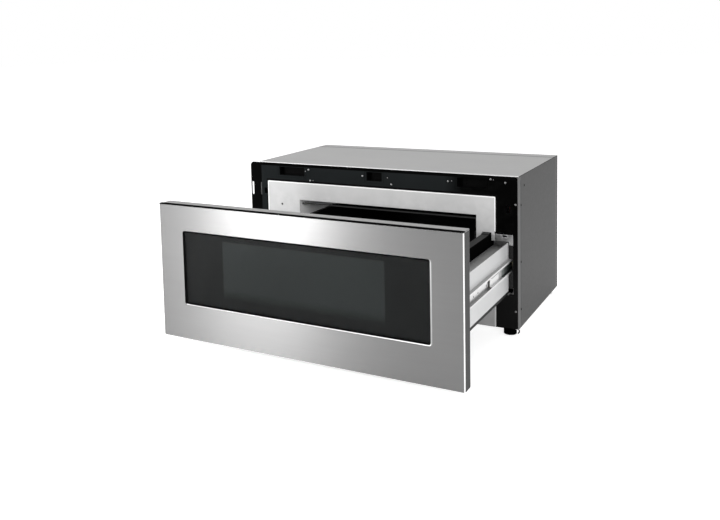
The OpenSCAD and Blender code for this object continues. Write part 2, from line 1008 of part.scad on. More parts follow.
module ceramic_tray() {
    color([0.9, 0.9, 0.88])
        placed()
            level(grow(tub_x, -tray_margin), grow(tub_y, -tray_margin),
                [tub_z[0] + tub_floor_t, tub_z[0] + tub_floor_t + tray_t], tub_r);
}

module drive_rack() {
    pitch = PI * gear_module;
    x = [mech_x - rack_w / 2, mech_x + rack_w / 2];
    half = pitch / 4 - tooth_play / 2;
    lean = tan(pressure_angle);
    root = rack_addendum + dedendum;
    top_half = half - rack_addendum * lean;
    root_half = half + dedendum * lean;
    base = rack_z + dedendum;
    count = floor((rack_y[1] - rack_y[0] - rack_overhang) / pitch);
    color([0.85, 0.85, 0.8])
        placed() {
            block(x, rack_y, [base, rack_z + rack_h]);
            for (i = [-1:count])
                if (pinion_y - i * pitch - root_half > rack_y[0])
                    translate([x[0], pinion_y - i * pitch, rack_z])
                        rotate([90, 0, 90])
                            linear_extrude(rack_w)
                                polygon([[-top_half, -rack_addendum],
                                    [top_half, -rack_addendum],
                                    [root_half, dedendum],
                                    [-root_half, dedendum]]);
        }
}

module latch_hooks() {
    z = [hook_z - hook_h / 2, hook_z + hook_h / 2];
    nose = hook_h / 4;
    color([0.85, 0.85, 0.85])
        placed()
            for (s = [-1, 1])
                on_side(s)
                    translate([hook_u - hook_t / 2, -door_back, 0]) {
                        block([0, hook_t], [0, hook_l], [z[0], z[1] - nose]);
                        block([0, hook_t], [hook_l - nose, hook_l], z);
                        block([-hook_t, 2 * hook_t], [0, hook_t / 2], z);
                    }
}

/* Drive */

function roll_point(base, a) = base * [
    sin(a) - a * PI / 180 * cos(a),
    cos(a) + a * PI / 180 * sin(a)];

foot_share = 0.7;

module pinion_tooth() {
    base = pitch_r * cos(pressure_angle);
    tip = pitch_r + gear_module;
    end_roll = sqrt((tip / base) * (tip / base) - 1) * 180 / PI;
    pitch_roll = tan(pressure_angle) * 180 / PI;
    inset = atan2(roll_point(base, pitch_roll)[0], roll_point(base, pitch_roll)[1]);
    half = 90 / pinion_teeth - tooth_play / pitch_r * 90 / PI;
    steps = 6;
    flank = [for (i = [0:steps]) roll_point(base, end_roll * i / steps)];
    turned = half + inset;
    left = [for (p = flank) [
        p[0] * cos(turned) - p[1] * sin(turned),
        p[0] * sin(turned) + p[1] * cos(turned)]];
    right = [for (i = [steps:-1:0]) [-left[i][0], left[i][1]]];
    foot = foot_share * left[0];
    polygon(concat([foot], left, right, [[-foot[0], foot[1]]]));
}

module drive_pinion() {
    root = pitch_r - dedendum;
    color([0.9, 0.88, 0.8])
        placed()
            translate([mech_x - pinion_w / 2, pinion_y, rack_z - pitch_r])
                rotate([90, 0, 90])
                    difference() {
                        union() {
                            cylinder(h = pinion_w, r = root);
                            for (i = [0:pinion_teeth - 1])
                                rotate(180 / pinion_teeth + i * 360 / pinion_teeth)
                                    linear_extrude(pinion_w)
                                        pinion_tooth();
                        }
                        translate([0, 0, -over])
                            cylinder(h = pinion_w + 2 * over, r = shaft_r + ball_play);
                    }
}

motor_foot_l = 26;

module drive_motor() {
    z = rack_z - pitch_r;
    color([0.55, 0.56, 0.58])
        placed() {
            rod_x([mech_x - pinion_w / 2, motor_x], pinion_y, z, shaft_r);
            rod_x([motor_x, motor_x + motor_l], pinion_y, z, motor_r);
            block([motor_x + motor_gap, motor_x + motor_gap + motor_foot_l],
                [pinion_y - motor_foot_l / 2, pinion_y + motor_foot_l / 2],
                [sheet_t, z]);
        }
}

module rack_guide() {
    x = grow([mech_x - rack_w / 2, mech_x + rack_w / 2], rack_guide_wall + gap);
    z = [rack_z + rack_h + gap, cavity_z - liner_t];
    color([0.9, 0.9, 0.85])
        placed()
            for (y = [pinion_y - rack_guide_l / 2, cavity_d / 2, cavity_d - rack_guide_l])
                difference() {
                    block(x, [y, y + rack_guide_l], [rack_z + dedendum, z[1]]);
                    block(grow(x, -rack_guide_wall), [y - over, y + rack_guide_l + over],
                        [0, z[0]]);
                }
}

/* Above the cavity */

module waveguide() {
    z = [deck_z, deck_z + guide_h];
    color([0.8, 0.8, 0.82])
        placed()
            difference() {
                block(guide_x, guide_y, z);
                block(grow(guide_x, -guide_sheet), grow(guide_y, -guide_sheet),
                    [z[0] - over, z[1] - guide_sheet]);
                rod_z(magnetron_x, middle(guide_y), [z[1] - 2 * guide_sheet, z[1] + over],
                    antenna_hole_r);
                rod_z(stirrer_x, stirrer_y, [z[1] - 2 * guide_sheet, z[1] + over],
                    stirrer_shaft_r + gap);
            }
}

antenna_r = 8;
antenna_hole_r = 12;
antenna_l = 18;
magnetron_h = 50;
magnetron_w = 84;
magnetron_depth = 90;
fin_count = 7;
fin_t = 1;
anode_r = 22;
yoke_t = 2;

module magnetron() {
    z0 = deck_z + guide_h;
    z = [z0, z0 + magnetron_h];
    x = [magnetron_x - magnetron_w / 2, magnetron_x + magnetron_w / 2];
    y = [middle(guide_y) - magnetron_depth / 2, middle(guide_y) + magnetron_depth / 2];
    color([0.7, 0.71, 0.73])
        placed() {
            rod_z(magnetron_x, middle(guide_y), [z0 - antenna_l, z0], antenna_r);
            rod_z(magnetron_x, middle(guide_y), z, anode_r);
            difference() {
                block(x, y, z);
                block(grow(x, -yoke_t), grow(y, over), grow(z, -yoke_t));
            }
            for (i = [0:fin_count - 1])
                block(x, grow(y, -yoke_t),
                    [spread(z, fin_count, i) - fin_t / 2, spread(z, fin_count, i) + fin_t / 2]);
        }
}

transformer_w = 80;
transformer_d = 100;
transformer_h = 78;
transformer_gap = 48;
core_leg = 18;
coil_over = 12;
transformer_x = [left_x + coil_over + 2 * pass, left_x + coil_over + 2 * pass + transformer_w];
transformer_y = [inner_back - transformer_gap - transformer_d, inner_back - transformer_gap];

module transformer_core() {
    z = [sheet_t, sheet_t + transformer_h];
    color([0.35, 0.34, 0.33])
        placed()
            difference() {
                block(transformer_x, transformer_y, z);
                for (y = [[transformer_y[0] + core_leg, middle(transformer_y) - core_leg / 2],
                        [middle(transformer_y) + core_leg / 2, transformer_y[1] - core_leg]])
                    block(grow(transformer_x, over), y, [z[0] + core_leg, z[1] - core_leg]);
            }
}

module transformer_coils() {
    z = [sheet_t + core_leg, sheet_t + transformer_h - core_leg];
    color([0.72, 0.45, 0.2])
        placed()
            difference() {
                level(grow(transformer_x, coil_over),
                    [transformer_y[0] + core_leg + gap, transformer_y[1] - core_leg - gap],
                    grow(z, -gap), coil_over);
                block(grow(transformer_x, gap),
                    [middle(transformer_y) - core_leg / 2 - gap,
                    middle(transformer_y) + core_leg / 2 + gap], grow(z, over));
            }
}

capacitor_side = 52;
capacitor_l = 100;
capacitor_gap = 34;
capacitor_x = right_x - capacitor_side;
capacitor_y = [inner_back - capacitor_gap - capacitor_l, inner_back - capacitor_gap];
capacitor_r = 26;
terminal_r = 2;
terminal_l = 8;
strap_w = 10;
strap_t = 1;

module capacitor() {
    z = sheet_t + capacitor_r + strap_t;
    color([0.75, 0.76, 0.78])
        placed() {
            rod_y(capacitor_x, capacitor_y, z, capacitor_r);
            rod_y(capacitor_x, [middle(capacitor_y) - strap_w / 2,
                middle(capacitor_y) + strap_w / 2], z, capacitor_r + strap_t);
            block([capacitor_x - strap_w, capacitor_x + strap_w],
                [middle(capacitor_y) - strap_w / 2, middle(capacitor_y) + strap_w / 2],
                [sheet_t, z]);
            for (dx = [-strap_w, strap_w])
                rod_y(capacitor_x + dx, [capacitor_y[0] - terminal_l, capacitor_y[0]], z,
                    terminal_r);
        }
}

module fan_housing() {
    y = [inner_back - fan_d, inner_back];
    color([0.12, 0.12, 0.12])
        placed()
            difference() {
                upright([fan_x - fan_size / 2, fan_x + fan_size / 2], y,
                    [fan_z - fan_size / 2, fan_z + fan_size / 2], fan_wall * 2);
                rod_y(fan_x, [y[0] + fan_wall, y[1] + over], fan_z, fan_r + fan_wall);
                difference() {
                    rod_y(fan_x, [y[0] - over, y[0] + fan_wall + over], fan_z, fan_r);
                    rod_y(fan_x, [y[0] - 2 * over, y[0] + fan_wall + 2 * over], fan_z, hub_r);
                    for (a = [45, 135])
                        translate([fan_x, 0, fan_z])
                            rotate([0, a, 0])
                                block([-fan_r - over, fan_r + over],
                                    [y[0] - 2 * over, y[0] + fan_wall + 2 * over],
                                    [-fan_wall, fan_wall]);
                }
            }
}

module fan_motor() {
    y0 = inner_back - fan_d + fan_wall;
    color([0.3, 0.3, 0.32])
        placed() {
            rod_y(fan_x, [y0, y0 + fan_wall * 2], fan_z, hub_r - fan_wall);
            rod_y(fan_x, [y0, inner_back - fan_wall * 2], fan_z, shaft_r);
        }
}

blade_count = 7;
blade_pitch_angle = 35;

module fan_blades() {
    y = [inner_back - fan_d + 3 * fan_wall + blade_gap, inner_back - 2 * blade_gap];
    color([0.15, 0.15, 0.16])
        placed()
            translate([fan_x, 0, fan_z])
                difference() {
                    union() {
                        rod_y(0, y, 0, hub_r);
                        intersection() {
                            rod_y(0, y, 0, fan_r - blade_gap);
                            for (i = [0:blade_count - 1])
                                rotate([0, i * 360 / blade_count, 0])
                                    translate([0, middle(y), 0])
                                        rotate([blade_pitch_angle, 0, 0])
                                            block([0, fan_r], [-fan_r / 3, fan_r / 3],
                                                [-blade_t / 2, blade_t / 2]);
                        }
                    }
                    rod_y(0, grow(y, over), 0, shaft_r + ball_play);
                }
}

module stirrer_motor() {
    z0 = deck_z + guide_h;
    color([0.8, 0.78, 0.7])
        placed()
            difference() {
                union() {
                    rod_z(stirrer_x, stirrer_y, [z0, z0 + motor_r], motor_r);
                    block([stirrer_x - 2 * motor_r, stirrer_x + 2 * motor_r],
                        [stirrer_y - motor_r / 2, stirrer_y + motor_r / 2],
                        [z0, z0 + guide_sheet]);
                }
                rod_z(stirrer_x, stirrer_y, [z0 - over, z0 + motor_r / 2],
                    stirrer_shaft_r + ball_play);
            }
}

module field_stirrer() {
    z0 = deck_z + guide_h;
    blade_z = cavity_zz[1] - stirrer_drop;
    color([0.82, 0.83, 0.84])
        placed() {
            rod_z(stirrer_x, stirrer_y, [blade_z, z0 + motor_r / 2 - gap], stirrer_shaft_r);
            for (a = [0, 60, 120])
                translate([stirrer_x, stirrer_y, blade_z])
                    rotate([0, 0, a])
                        block([-stirrer_reach, stirrer_reach], [-stirrer_w / 2, stirrer_w / 2],
                            [0, guide_sheet]);
        }
}

module stirrer_cover() {
    z = [cavity_zz[1] - cover_h, cavity_zz[1]];
    color([0.88, 0.87, 0.83])
        placed()
            difference() {
                rod_z(stirrer_x, stirrer_y, z, cover_r);
                rod_z(stirrer_x, stirrer_y, [z[0] + cover_t, z[1] + over],
                    cover_r - cover_t);
            }
}

// Board on posts, with blocks for its components
module board(x, y, blocks) {
    z = [deck_z + post_h, deck_z + post_h + board_t];
    block(x, y, z);
    for (px = grow(x, -2 * post_r), py = grow(y, -2 * post_r))
        rod_z(px, py, [deck_z, z[0]], post_r);
    for (b = blocks)
        block([x[0] + b[0] * (x[1] - x[0]), x[0] + b[1] * (x[1] - x[0])],
            [y[0] + b[2] * (y[1] - y[0]), y[0] + b[3] * (y[1] - y[0])],
            [z[1], z[1] + b[4] * board_part_h]);
}

board_part_h = 30;
control_shares = [[0.08, 0.3, 0.1, 0.4, 0.9], [0.4, 0.55, 0.1, 0.2, 0.5],
    [0.6, 0.75, 0.1, 0.2, 0.5], [0.4, 0.9, 0.45, 0.55, 0.3], [0.1, 0.25, 0.6, 0.8, 1],
    [0.5, 0.7, 0.7, 0.9, 0.15]];
filter_shares = [[0.1, 0.5, 0.1, 0.4, 0.9], [0.6, 0.9, 0.1, 0.5, 0.6],
    [0.2, 0.45, 0.55, 0.9, 0.7], [0.6, 0.8, 0.65, 0.85, 0.5]];
board_side = 17;
board_front = 40;
control_w = 110;
control_d = 80;
filter_w = 65;
filter_d = 90;
control_x = [cavity_xx[0] + board_side, cavity_xx[0] + board_side + control_w];
control_y = [board_front, board_front + control_d];
filter_x = [cavity_xx[1] - post_r - filter_w, cavity_xx[1] - post_r];
filter_y = [cavity_d - post_r - filter_d, cavity_d - post_r];

module control_board() {
    color([0.1, 0.35, 0.15])
        placed()
            board(control_x, control_y, control_shares);
}

module noise_filter_board() {
    color([0.1, 0.35, 0.15])
        placed()
            board(filter_x, filter_y, filter_shares);
}

module power_inlet() {
    y = [inner_back - gland_proud, body_d + gland_proud];
    color([0.08, 0.08, 0.08])
        placed()
            difference() {
                union() {
                    rod_y(inlet_x, y, inlet_z, inlet_r);
                    rod_y(inlet_x, [body_d, body_d + gland_proud / 2], inlet_z,
                        inlet_r * 1.5);
                }
                rod_y(inlet_x, grow(y, over), inlet_z, inlet_bore_r);
            }
}

lamp_w = 40;
lamp_d = 26;
lamp_h = 24;
lamp_off = 30;
lamp_x = [cavity_x + lamp_off, cavity_x + lamp_off + lamp_w];
lamp_y = [board_front, board_front + lamp_d];

module cavity_lamp() {
    color([0.9, 0.9, 0.85])
        placed() {
            block(lamp_x, lamp_y, [deck_z, deck_z + lamp_h]);
            rod_x([lamp_x[1], lamp_x[1] + lamp_h / 2], middle(lamp_y), deck_z + lamp_h / 2,
                lamp_h / 3);
        }
}

// Cup of a socket in a recess, with a block of contacts in it
module socket(x) {
    y = [flange_t, flange_t + socket_d];
    difference() {
        block(grow(x, socket_wall), y, grow(recess_z, socket_wall));
        block(x, [y[0] - over, y[1] - socket_wall], recess_z);
    }
}

dot_r = 2;
// Contacts in the right recess, as shares of its width and height
dot_shares = [[0.25, 0.65], [0.25, 0.3]];
dot_places = [for (share = dot_shares) [
    recess_x[2][0] + share[0] * (recess_x[2][1] - recess_x[2][0]),
    recess_z[0] + share[1] * (recess_z[1] - recess_z[0])]];

module recess_sockets() {
    y = [flange_t, flange_t + socket_d];
    color([0.06, 0.06, 0.06])
        placed() {
            for (x = recess_x)
                socket(x);
            for (p = dot_places)
                rod_y(p[0], [y[1] - socket_wall - dot_r, y[1] - socket_wall], p[1], dot_r);
        }
}

/* Interlock */

switch_y = -plate_front - closed_gap + hook_l + gap + plunger_l / 2;

module interlock_switches() {
    color([0.85, 0.3, 0.2])
        placed()
            for (s = [-1, 1])
                on_side(s)
                    difference() {
                        block([hook_u - switch_w / 2, hook_u + switch_w / 2],
                            [switch_y, switch_y + switch_d],
                            [hook_z - switch_h / 2, body_h - sheet_t]);
                        rod_y(hook_u, [switch_y - over, switch_y + 2 * plunger_l], hook_z,
                            plunger_r + plunger_seat);
                    }
}

module plunger(s) {
    color([0.9, 0.9, 0.9])
        placed()
            on_side(s)
                rod_y(hook_u, [switch_y - plunger_l / 2, switch_y + plunger_l], hook_z,
                    plunger_r);
}

module plunger_left() {
    plunger(-1);
}

module plunger_right() {
    plunger(1);
}

module feet() {
    color([0.07, 0.07, 0.07])
        placed()
            for (s = [-1, 1], y = foot_y)
                on_side(s) {
                    rod_z(foot_u, y, [-foot_h, 0], foot_d / 2);
                    rod_z(foot_u, y, [0, sheet_t], foot_screw_r - gap);
                }
}

base_pan();
left_side_panel();
right_side_panel();
top_panel();
back_panel();
front_flange();
front_face();
face_plate();
cavity_liner();
cavity_side_guides();
slide_carrier_left();
slide_carrier_right();
cabinet_members();
waveguide();
magnetron();
transformer_core();
transformer_coils();
capacitor();
fan_housing();
fan_motor();
fan_blades();
stirrer_motor();
stirrer_cover();
field_stirrer();
control_board();
noise_filter_board();
power_inlet();
drive_motor();
drive_pinion();
rack_guide();
cavity_lamp();
recess_sockets();
interlock_switches();
plunger_left();
plunger_right();
feet();
face_screws();
side_screws();
middle_member_left();
middle_member_right();
outer_ball_cages();
inner_ball_cages();
door_skin();
door_seam();
door_body();
window_glass();
glass_seal();
window_screen();
inner_door_panel();
choke_cover();
drawer_tub();
ceramic_tray();
bracket_left();
bracket_right();
side_rails();
bracket_strips();
drawer_members();
drive_rack();
latch_hooks();
drawer_screws();
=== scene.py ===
# %% [markdown]
# A microwave drawer stands open: a steel front with a dark window, a black tub on side slides,
# and a box body with a black front frame. The solid parts come packed from the CAD model, and
# this lesson gives them rounded edges, real fasteners and finishes. The frame is loaded first,
# because every piece is placed by it.

# %% Load the imported drawer
import json
import math

import bmesh
import bpy
from mathutils import Matrix, Vector


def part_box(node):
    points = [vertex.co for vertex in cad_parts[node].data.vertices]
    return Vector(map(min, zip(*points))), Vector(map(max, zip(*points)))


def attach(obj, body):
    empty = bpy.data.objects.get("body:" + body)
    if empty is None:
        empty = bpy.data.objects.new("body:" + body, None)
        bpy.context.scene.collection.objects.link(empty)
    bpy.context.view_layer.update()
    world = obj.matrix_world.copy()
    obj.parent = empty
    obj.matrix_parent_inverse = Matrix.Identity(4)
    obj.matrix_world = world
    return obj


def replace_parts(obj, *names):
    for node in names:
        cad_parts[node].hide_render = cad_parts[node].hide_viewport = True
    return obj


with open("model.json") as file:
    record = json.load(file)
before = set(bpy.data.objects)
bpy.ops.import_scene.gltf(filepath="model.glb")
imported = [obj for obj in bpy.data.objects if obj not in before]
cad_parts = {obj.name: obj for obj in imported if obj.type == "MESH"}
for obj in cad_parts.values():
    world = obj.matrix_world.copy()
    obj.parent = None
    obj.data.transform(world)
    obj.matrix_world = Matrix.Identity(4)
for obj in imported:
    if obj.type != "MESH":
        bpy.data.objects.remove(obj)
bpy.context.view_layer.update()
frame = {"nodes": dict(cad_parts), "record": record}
record = frame["record"]
body_of_node = {}
for body, names in record["behaviour"]["bodies"].items():
    for name in names:
        body_of_node[name] = body
slot_of_node = {row["node"]: row["material_slot"] for row in record["subparts"]}
MM = 0.001

# %% [markdown]
# The photograph is taken from the right and a little above. Its camera was found from the
# corners of the drawer front and the body, so the camera is built from three angles, a place
# and a focal length in pixels. The lens is shifted, because the object isn't in the middle.

# %% Camera at the photograph's angle
PHOTO_WIDTH = 720
PHOTO_HEIGHT = 520
FOCAL_PX = 802.82
SENSOR_WIDTH = 36
AXIS_PX = (330.08, 116.46)
CAMERA_PLACE = Vector((0.895, -1.837, 0.704))
CAMERA_YAW = math.radians(29.02)
CAMERA_PITCH = math.radians(5.115)
CAMERA_ROLL = math.radians(-1.355)


def make_camera():
    forward = Vector((
        -math.sin(CAMERA_YAW) * math.cos(CAMERA_PITCH),
        math.cos(CAMERA_YAW) * math.cos(CAMERA_PITCH),
        -math.sin(CAMERA_PITCH)))
    level = Vector((math.cos(CAMERA_YAW), math.sin(CAMERA_YAW), 0))
    upright = level.cross(forward)
    right = math.cos(CAMERA_ROLL) * level + math.sin(CAMERA_ROLL) * upright
    up = -math.sin(CAMERA_ROLL) * level + math.cos(CAMERA_ROLL) * upright
    data = bpy.data.cameras.new("photo_camera")
    data.sensor_width = SENSOR_WIDTH
    data.lens = FOCAL_PX * SENSOR_WIDTH / PHOTO_WIDTH
    data.shift_x = (PHOTO_WIDTH / 2 - AXIS_PX[0]) / PHOTO_WIDTH
    data.shift_y = (AXIS_PX[1] - PHOTO_HEIGHT / 2) / PHOTO_WIDTH
    camera = bpy.data.objects.new("photo_camera", data)
    turn = Matrix((right, up, -forward)).transposed()
    camera.matrix_world = Matrix.Translation(CAMERA_PLACE) @ turn.to_4x4()
    bpy.context.scene.collection.objects.link(camera)
    bpy.context.scene.camera = camera
    print("lens", round(data.lens, 2), "mm, shift", round(data.shift_x, 4), round(data.shift_y, 4))


make_camera()

# %% [markdown]
# A finish is a tree of shader nodes. One helper places a node, sets its sockets and links
# what it is given, so that each finish below reads as a short list of steps.

# %% Helper that places shader nodes


def place(tree, kind, inputs=None, **settings):
    """Adds a node, sets its settings, and sets or links each named input."""
    node = tree.nodes.new(kind)
    for key, value in settings.items():
        setattr(node, key, value)
    for key, value in (inputs or {}).items():
        socket = node.inputs[key]
        if isinstance(value, bpy.types.NodeSocket):
            tree.links.new(value, socket)
        else:
            socket.default_value = value
    return node


def math_node(tree, operation, first, second=0.0):
    return place(tree, "ShaderNodeMath", {0: first, 1: second}, operation=operation).outputs[0]


def remap(tree, value, low, high, new_low, new_high):
    node = place(tree, "ShaderNodeMapRange", {
        "Value": value, "From Min": low, "From Max": high,
        "To Min": new_low, "To Max": new_high})
    return node.outputs["Result"]


def blend_colour(tree, mask, first, second):
    node = place(tree, "ShaderNodeMix", {0: mask, 6: first, 7: second}, data_type="RGBA")
    return node.outputs[2]


def grey(level, warmth=0.0):
    """A grey as linear light, with a little warmth or, below zero, coolness."""
    return (level * (1 + warmth), level, level * (1 - warmth), 1)


def new_group(name, inputs, outputs):
    """A node group with named sockets: its tree, its input sockets and its output node."""
    tree = bpy.data.node_groups.new(name, "ShaderNodeTree")
    for label, kind in inputs:
        tree.interface.new_socket(label, in_out="INPUT", socket_type=kind)
    for label in outputs:
        tree.interface.new_socket(label, in_out="OUTPUT", socket_type="NodeSocketFloat")
    source = tree.nodes.new("NodeGroupInput")
    target = tree.nodes.new("NodeGroupOutput")
    return tree, source.outputs, target


def use_group(tree, group, inputs):
    return place(tree, "ShaderNodeGroup", inputs, node_tree=group).outputs


VECTOR = "NodeSocketVector"
FLOAT = "NodeSocketFloat"
print("helpers ready")

# %% [markdown]
# Brushed steel has fine lines along its length, in broader bands that catch the light
# differently. Both come from noise that is stretched along X: very fine across, long along.

# %% Effect: brushed lines


def make_brushed_lines():
    tree, given, target = new_group(
        "brushed_lines", [("Place", VECTOR), ("Across", FLOAT), ("Along", FLOAT)],
        ["Line", "Band"])
    stretch = place(tree, "ShaderNodeCombineXYZ", {
        "X": given["Along"], "Y": given["Across"], "Z": given["Across"]})
    fine = place(tree, "ShaderNodeVectorMath", {0: given["Place"], 1: stretch.outputs[0]},
                 operation="MULTIPLY")
    line = place(tree, "ShaderNodeTexNoise", {
        "Vector": fine.outputs[0], "Scale": 1.0, "Detail": 3.0, "Roughness": 0.6})
    coarse = place(tree, "ShaderNodeVectorMath", {0: fine.outputs[0], 1: (0.2, 0.05, 0.05)},
                   operation="MULTIPLY")
    band = place(tree, "ShaderNodeTexNoise", {
        "Vector": coarse.outputs[0], "Scale": 1.0, "Detail": 2.0})
    tree.links.new(line.outputs[0], target.inputs["Line"])
    tree.links.new(band.outputs[0], target.inputs["Band"])
    return tree


brushed_lines = make_brushed_lines()
print("group", brushed_lines.name)

# %% [markdown]
# No painted or moulded surface has one even tone. Soft clouds move its colour and its gloss a
# little, and a fine ripple, like orange peel on paint or grain on plastic, breaks reflections.

# %% Effect: clouds and fine ripple


def make_uneven_coat():
    tree, given, target = new_group(
        "uneven_coat", [("Place", VECTOR), ("Cloud Scale", FLOAT), ("Ripple Scale", FLOAT)],
        ["Cloud", "Ripple"])
    cloud = place(tree, "ShaderNodeTexNoise", {
        "Vector": given["Place"], "Scale": given["Cloud Scale"], "Detail": 3.0})
    ripple = place(tree, "ShaderNodeTexNoise", {
        "Vector": given["Place"], "Scale": given["Ripple Scale"], "Detail": 2.0})
    tree.links.new(cloud.outputs[0], target.inputs["Cloud"])
    tree.links.new(ripple.outputs[0], target.inputs["Ripple"])
    return tree


uneven_coat = make_uneven_coat()
print("group", uneven_coat.name)

# %% [markdown]
# Handling rubs edges bright, and dust settles on what faces up. Pointiness finds the edges
# and the surface normal finds what faces up; noise breaks both into patches.

# %% Effect: rubbed edges and settled dust


def make_age():
    tree, given, target = new_group(
        "age_marks", [("Place", VECTOR), ("Wear", FLOAT), ("Dust", FLOAT)], ["Rubbed", "Dusty"])
    geometry = place(tree, "ShaderNodeNewGeometry")
    patch = place(tree, "ShaderNodeTexNoise", {
        "Vector": given["Place"], "Scale": 60.0, "Detail": 4.0})
    edge = remap(tree, geometry.outputs["Pointiness"], 0.53, 0.62, 0.0, 1.0)
    worn = math_node(tree, "MULTIPLY", edge, remap(tree, patch.outputs[0], 0.4, 0.65, 0.0, 1.0))
    rubbed = math_node(tree, "MULTIPLY", worn, given["Wear"])
    split = place(tree, "ShaderNodeSeparateXYZ", {0: geometry.outputs["Normal"]})
    facing_up = remap(tree, split.outputs["Z"], 0.6, 1.0, 0.0, 1.0)
    speck = place(tree, "ShaderNodeTexNoise", {
        "Vector": given["Place"], "Scale": 9.0, "Detail": 6.0, "Roughness": 0.7})
    drift = remap(tree, speck.outputs[0], 0.35, 0.75, 0.2, 1.0)
    settled = math_node(tree, "MULTIPLY", facing_up, drift)
    dusty = math_node(tree, "MULTIPLY", settled, given["Dust"])
    tree.links.new(rubbed, target.inputs["Rubbed"])
    tree.links.new(dusty, target.inputs["Dusty"])
    return tree


age_marks = make_age()
print("group", age_marks.name)

# %% [markdown]
# Zinc-coated sheet shows flat crystals a few millimetres wide, each of its own shade.
# Voronoi cells with a random value each give them.

# %% Effect: zinc crystals


def make_crystals():
    tree, given, target = new_group(
        "zinc_crystals", [("Place", VECTOR), ("Size", FLOAT)], ["Shade"])
    warp = place(tree, "ShaderNodeTexNoise", {
        "Vector": given["Place"], "Scale": 90.0, "Detail": 1.0})
    shift = place(tree, "ShaderNodeVectorMath", {0: warp.outputs[1], 1: (0.004, 0.004, 0.004)},
                  operation="MULTIPLY")
    moved = place(tree, "ShaderNodeVectorMath", {0: given["Place"], 1: shift.outputs[0]},
                  operation="ADD")
    cells = place(tree, "ShaderNodeTexVoronoi", {
        "Vector": moved.outputs[0], "Scale": given["Size"]})
    split = place(tree, "ShaderNodeSeparateColor", {0: cells.outputs["Color"]})
    tree.links.new(split.outputs[0], target.inputs["Shade"])
    return tree


zinc_crystals = make_crystals()
print("group", zinc_crystals.name)

# %% [markdown]
# The sheet behind the window is punched with rows of small holes, each row offset by half a
# step. The distance to the nearest hole's middle, taken in the sheet's plane, gives the mask.

# %% Effect: punched holes


def make_punched():
    tree, given, target = new_group(
        "punched_holes", [("Place", VECTOR), ("Pitch", FLOAT), ("Radius", FLOAT)], ["Hole"])
    split = place(tree, "ShaderNodeSeparateXYZ", {0: given["Place"]})
    row = math_node(tree, "DIVIDE", split.outputs["Z"], given["Pitch"])
    odd = math_node(tree, "PINGPONG", math_node(tree, "FLOOR", row), 1.0)
    column = math_node(tree, "DIVIDE", split.outputs["X"], given["Pitch"])
    column = math_node(tree, "ADD", column, math_node(tree, "MULTIPLY", odd, 0.5))
    across = math_node(tree, "SUBTRACT", math_node(tree, "FRACT", column), 0.5)
    upward = math_node(tree, "SUBTRACT", math_node(tree, "FRACT", row), 0.5)
    flat = place(tree, "ShaderNodeCombineXYZ", {"X": across, "Y": upward})
    distance = place(tree, "ShaderNodeVectorMath", {0: flat.outputs[0]}, operation="LENGTH")
    hole = remap(tree, distance.outputs["Value"], given["Radius"],
                 math_node(tree, "SUBTRACT", given["Radius"], 0.08), 0.0, 1.0)
    tree.links.new(hole, target.inputs["Hole"])
    return tree


punched_holes = make_punched()
print("group", punched_holes.name)

# %% [markdown]
# Every finish starts the same way: a material with its Principled shader and the object's
# own coordinates. Paint, plastic and bare metal each have a base function, and each real
# finish on the drawer then has its own tone, gloss, ripple and age.

# %% Base of every finish


def start_finish(name):
    material = bpy.data.materials.new(name)
    material.use_nodes = True
    tree = material.node_tree
    coords = place(tree, "ShaderNodeTexCoord").outputs["Object"]
    return material, tree, tree.nodes["Principled BSDF"], coords


def connect(tree, shader, links):
    for label, value in links.items():
        if isinstance(value, bpy.types.NodeSocket):
            tree.links.new(value, shader.inputs[label])
        else:
            shader.inputs[label].default_value = value


def ripple_normal(tree, height, strength, depth):
    bump = place(tree, "ShaderNodeBump", {
        "Height": height, "Strength": strength, "Distance": depth})
    return bump.outputs["Normal"]


def coated(name, tone, rough, gloss=0.5, ripple=900.0, depth=0.00006, dust=0.1, wear=0.3,
           bare=grey(0.4), cloud=7.0):
    """Paint, enamel or moulded plastic: a tone with clouds, ripple, dust and rubbed edges."""
    material, tree, shader, coords = start_finish(name)
    coat = use_group(tree, uneven_coat, {
        "Place": coords, "Cloud Scale": cloud, "Ripple Scale": ripple})
    age = use_group(tree, age_marks, {"Place": coords, "Wear": wear, "Dust": dust})
    shade = remap(tree, coat["Cloud"], 0.3, 0.7, 0.9, 1.08)
    toned = place(tree, "ShaderNodeVectorMath", {0: tone[:3], "Scale": shade}, operation="SCALE")
    rubbed = blend_colour(tree, age["Rubbed"], toned.outputs[0], bare)
    dusty = blend_colour(tree, age["Dusty"], rubbed, grey(0.5, 0.03))
    gloss_shift = remap(tree, coat["Cloud"], 0.3, 0.7, rough * 0.9, rough * 1.12)
    duller = math_node(tree, "ADD", gloss_shift, math_node(tree, "MULTIPLY", age["Dusty"], 0.3))
    connect(tree, shader, {
        "Base Color": dusty, "Roughness": duller, "Metallic": 0.0,
        "Specular IOR Level": gloss,
        "Normal": ripple_normal(tree, coat["Ripple"], 0.5, depth)})
    return material


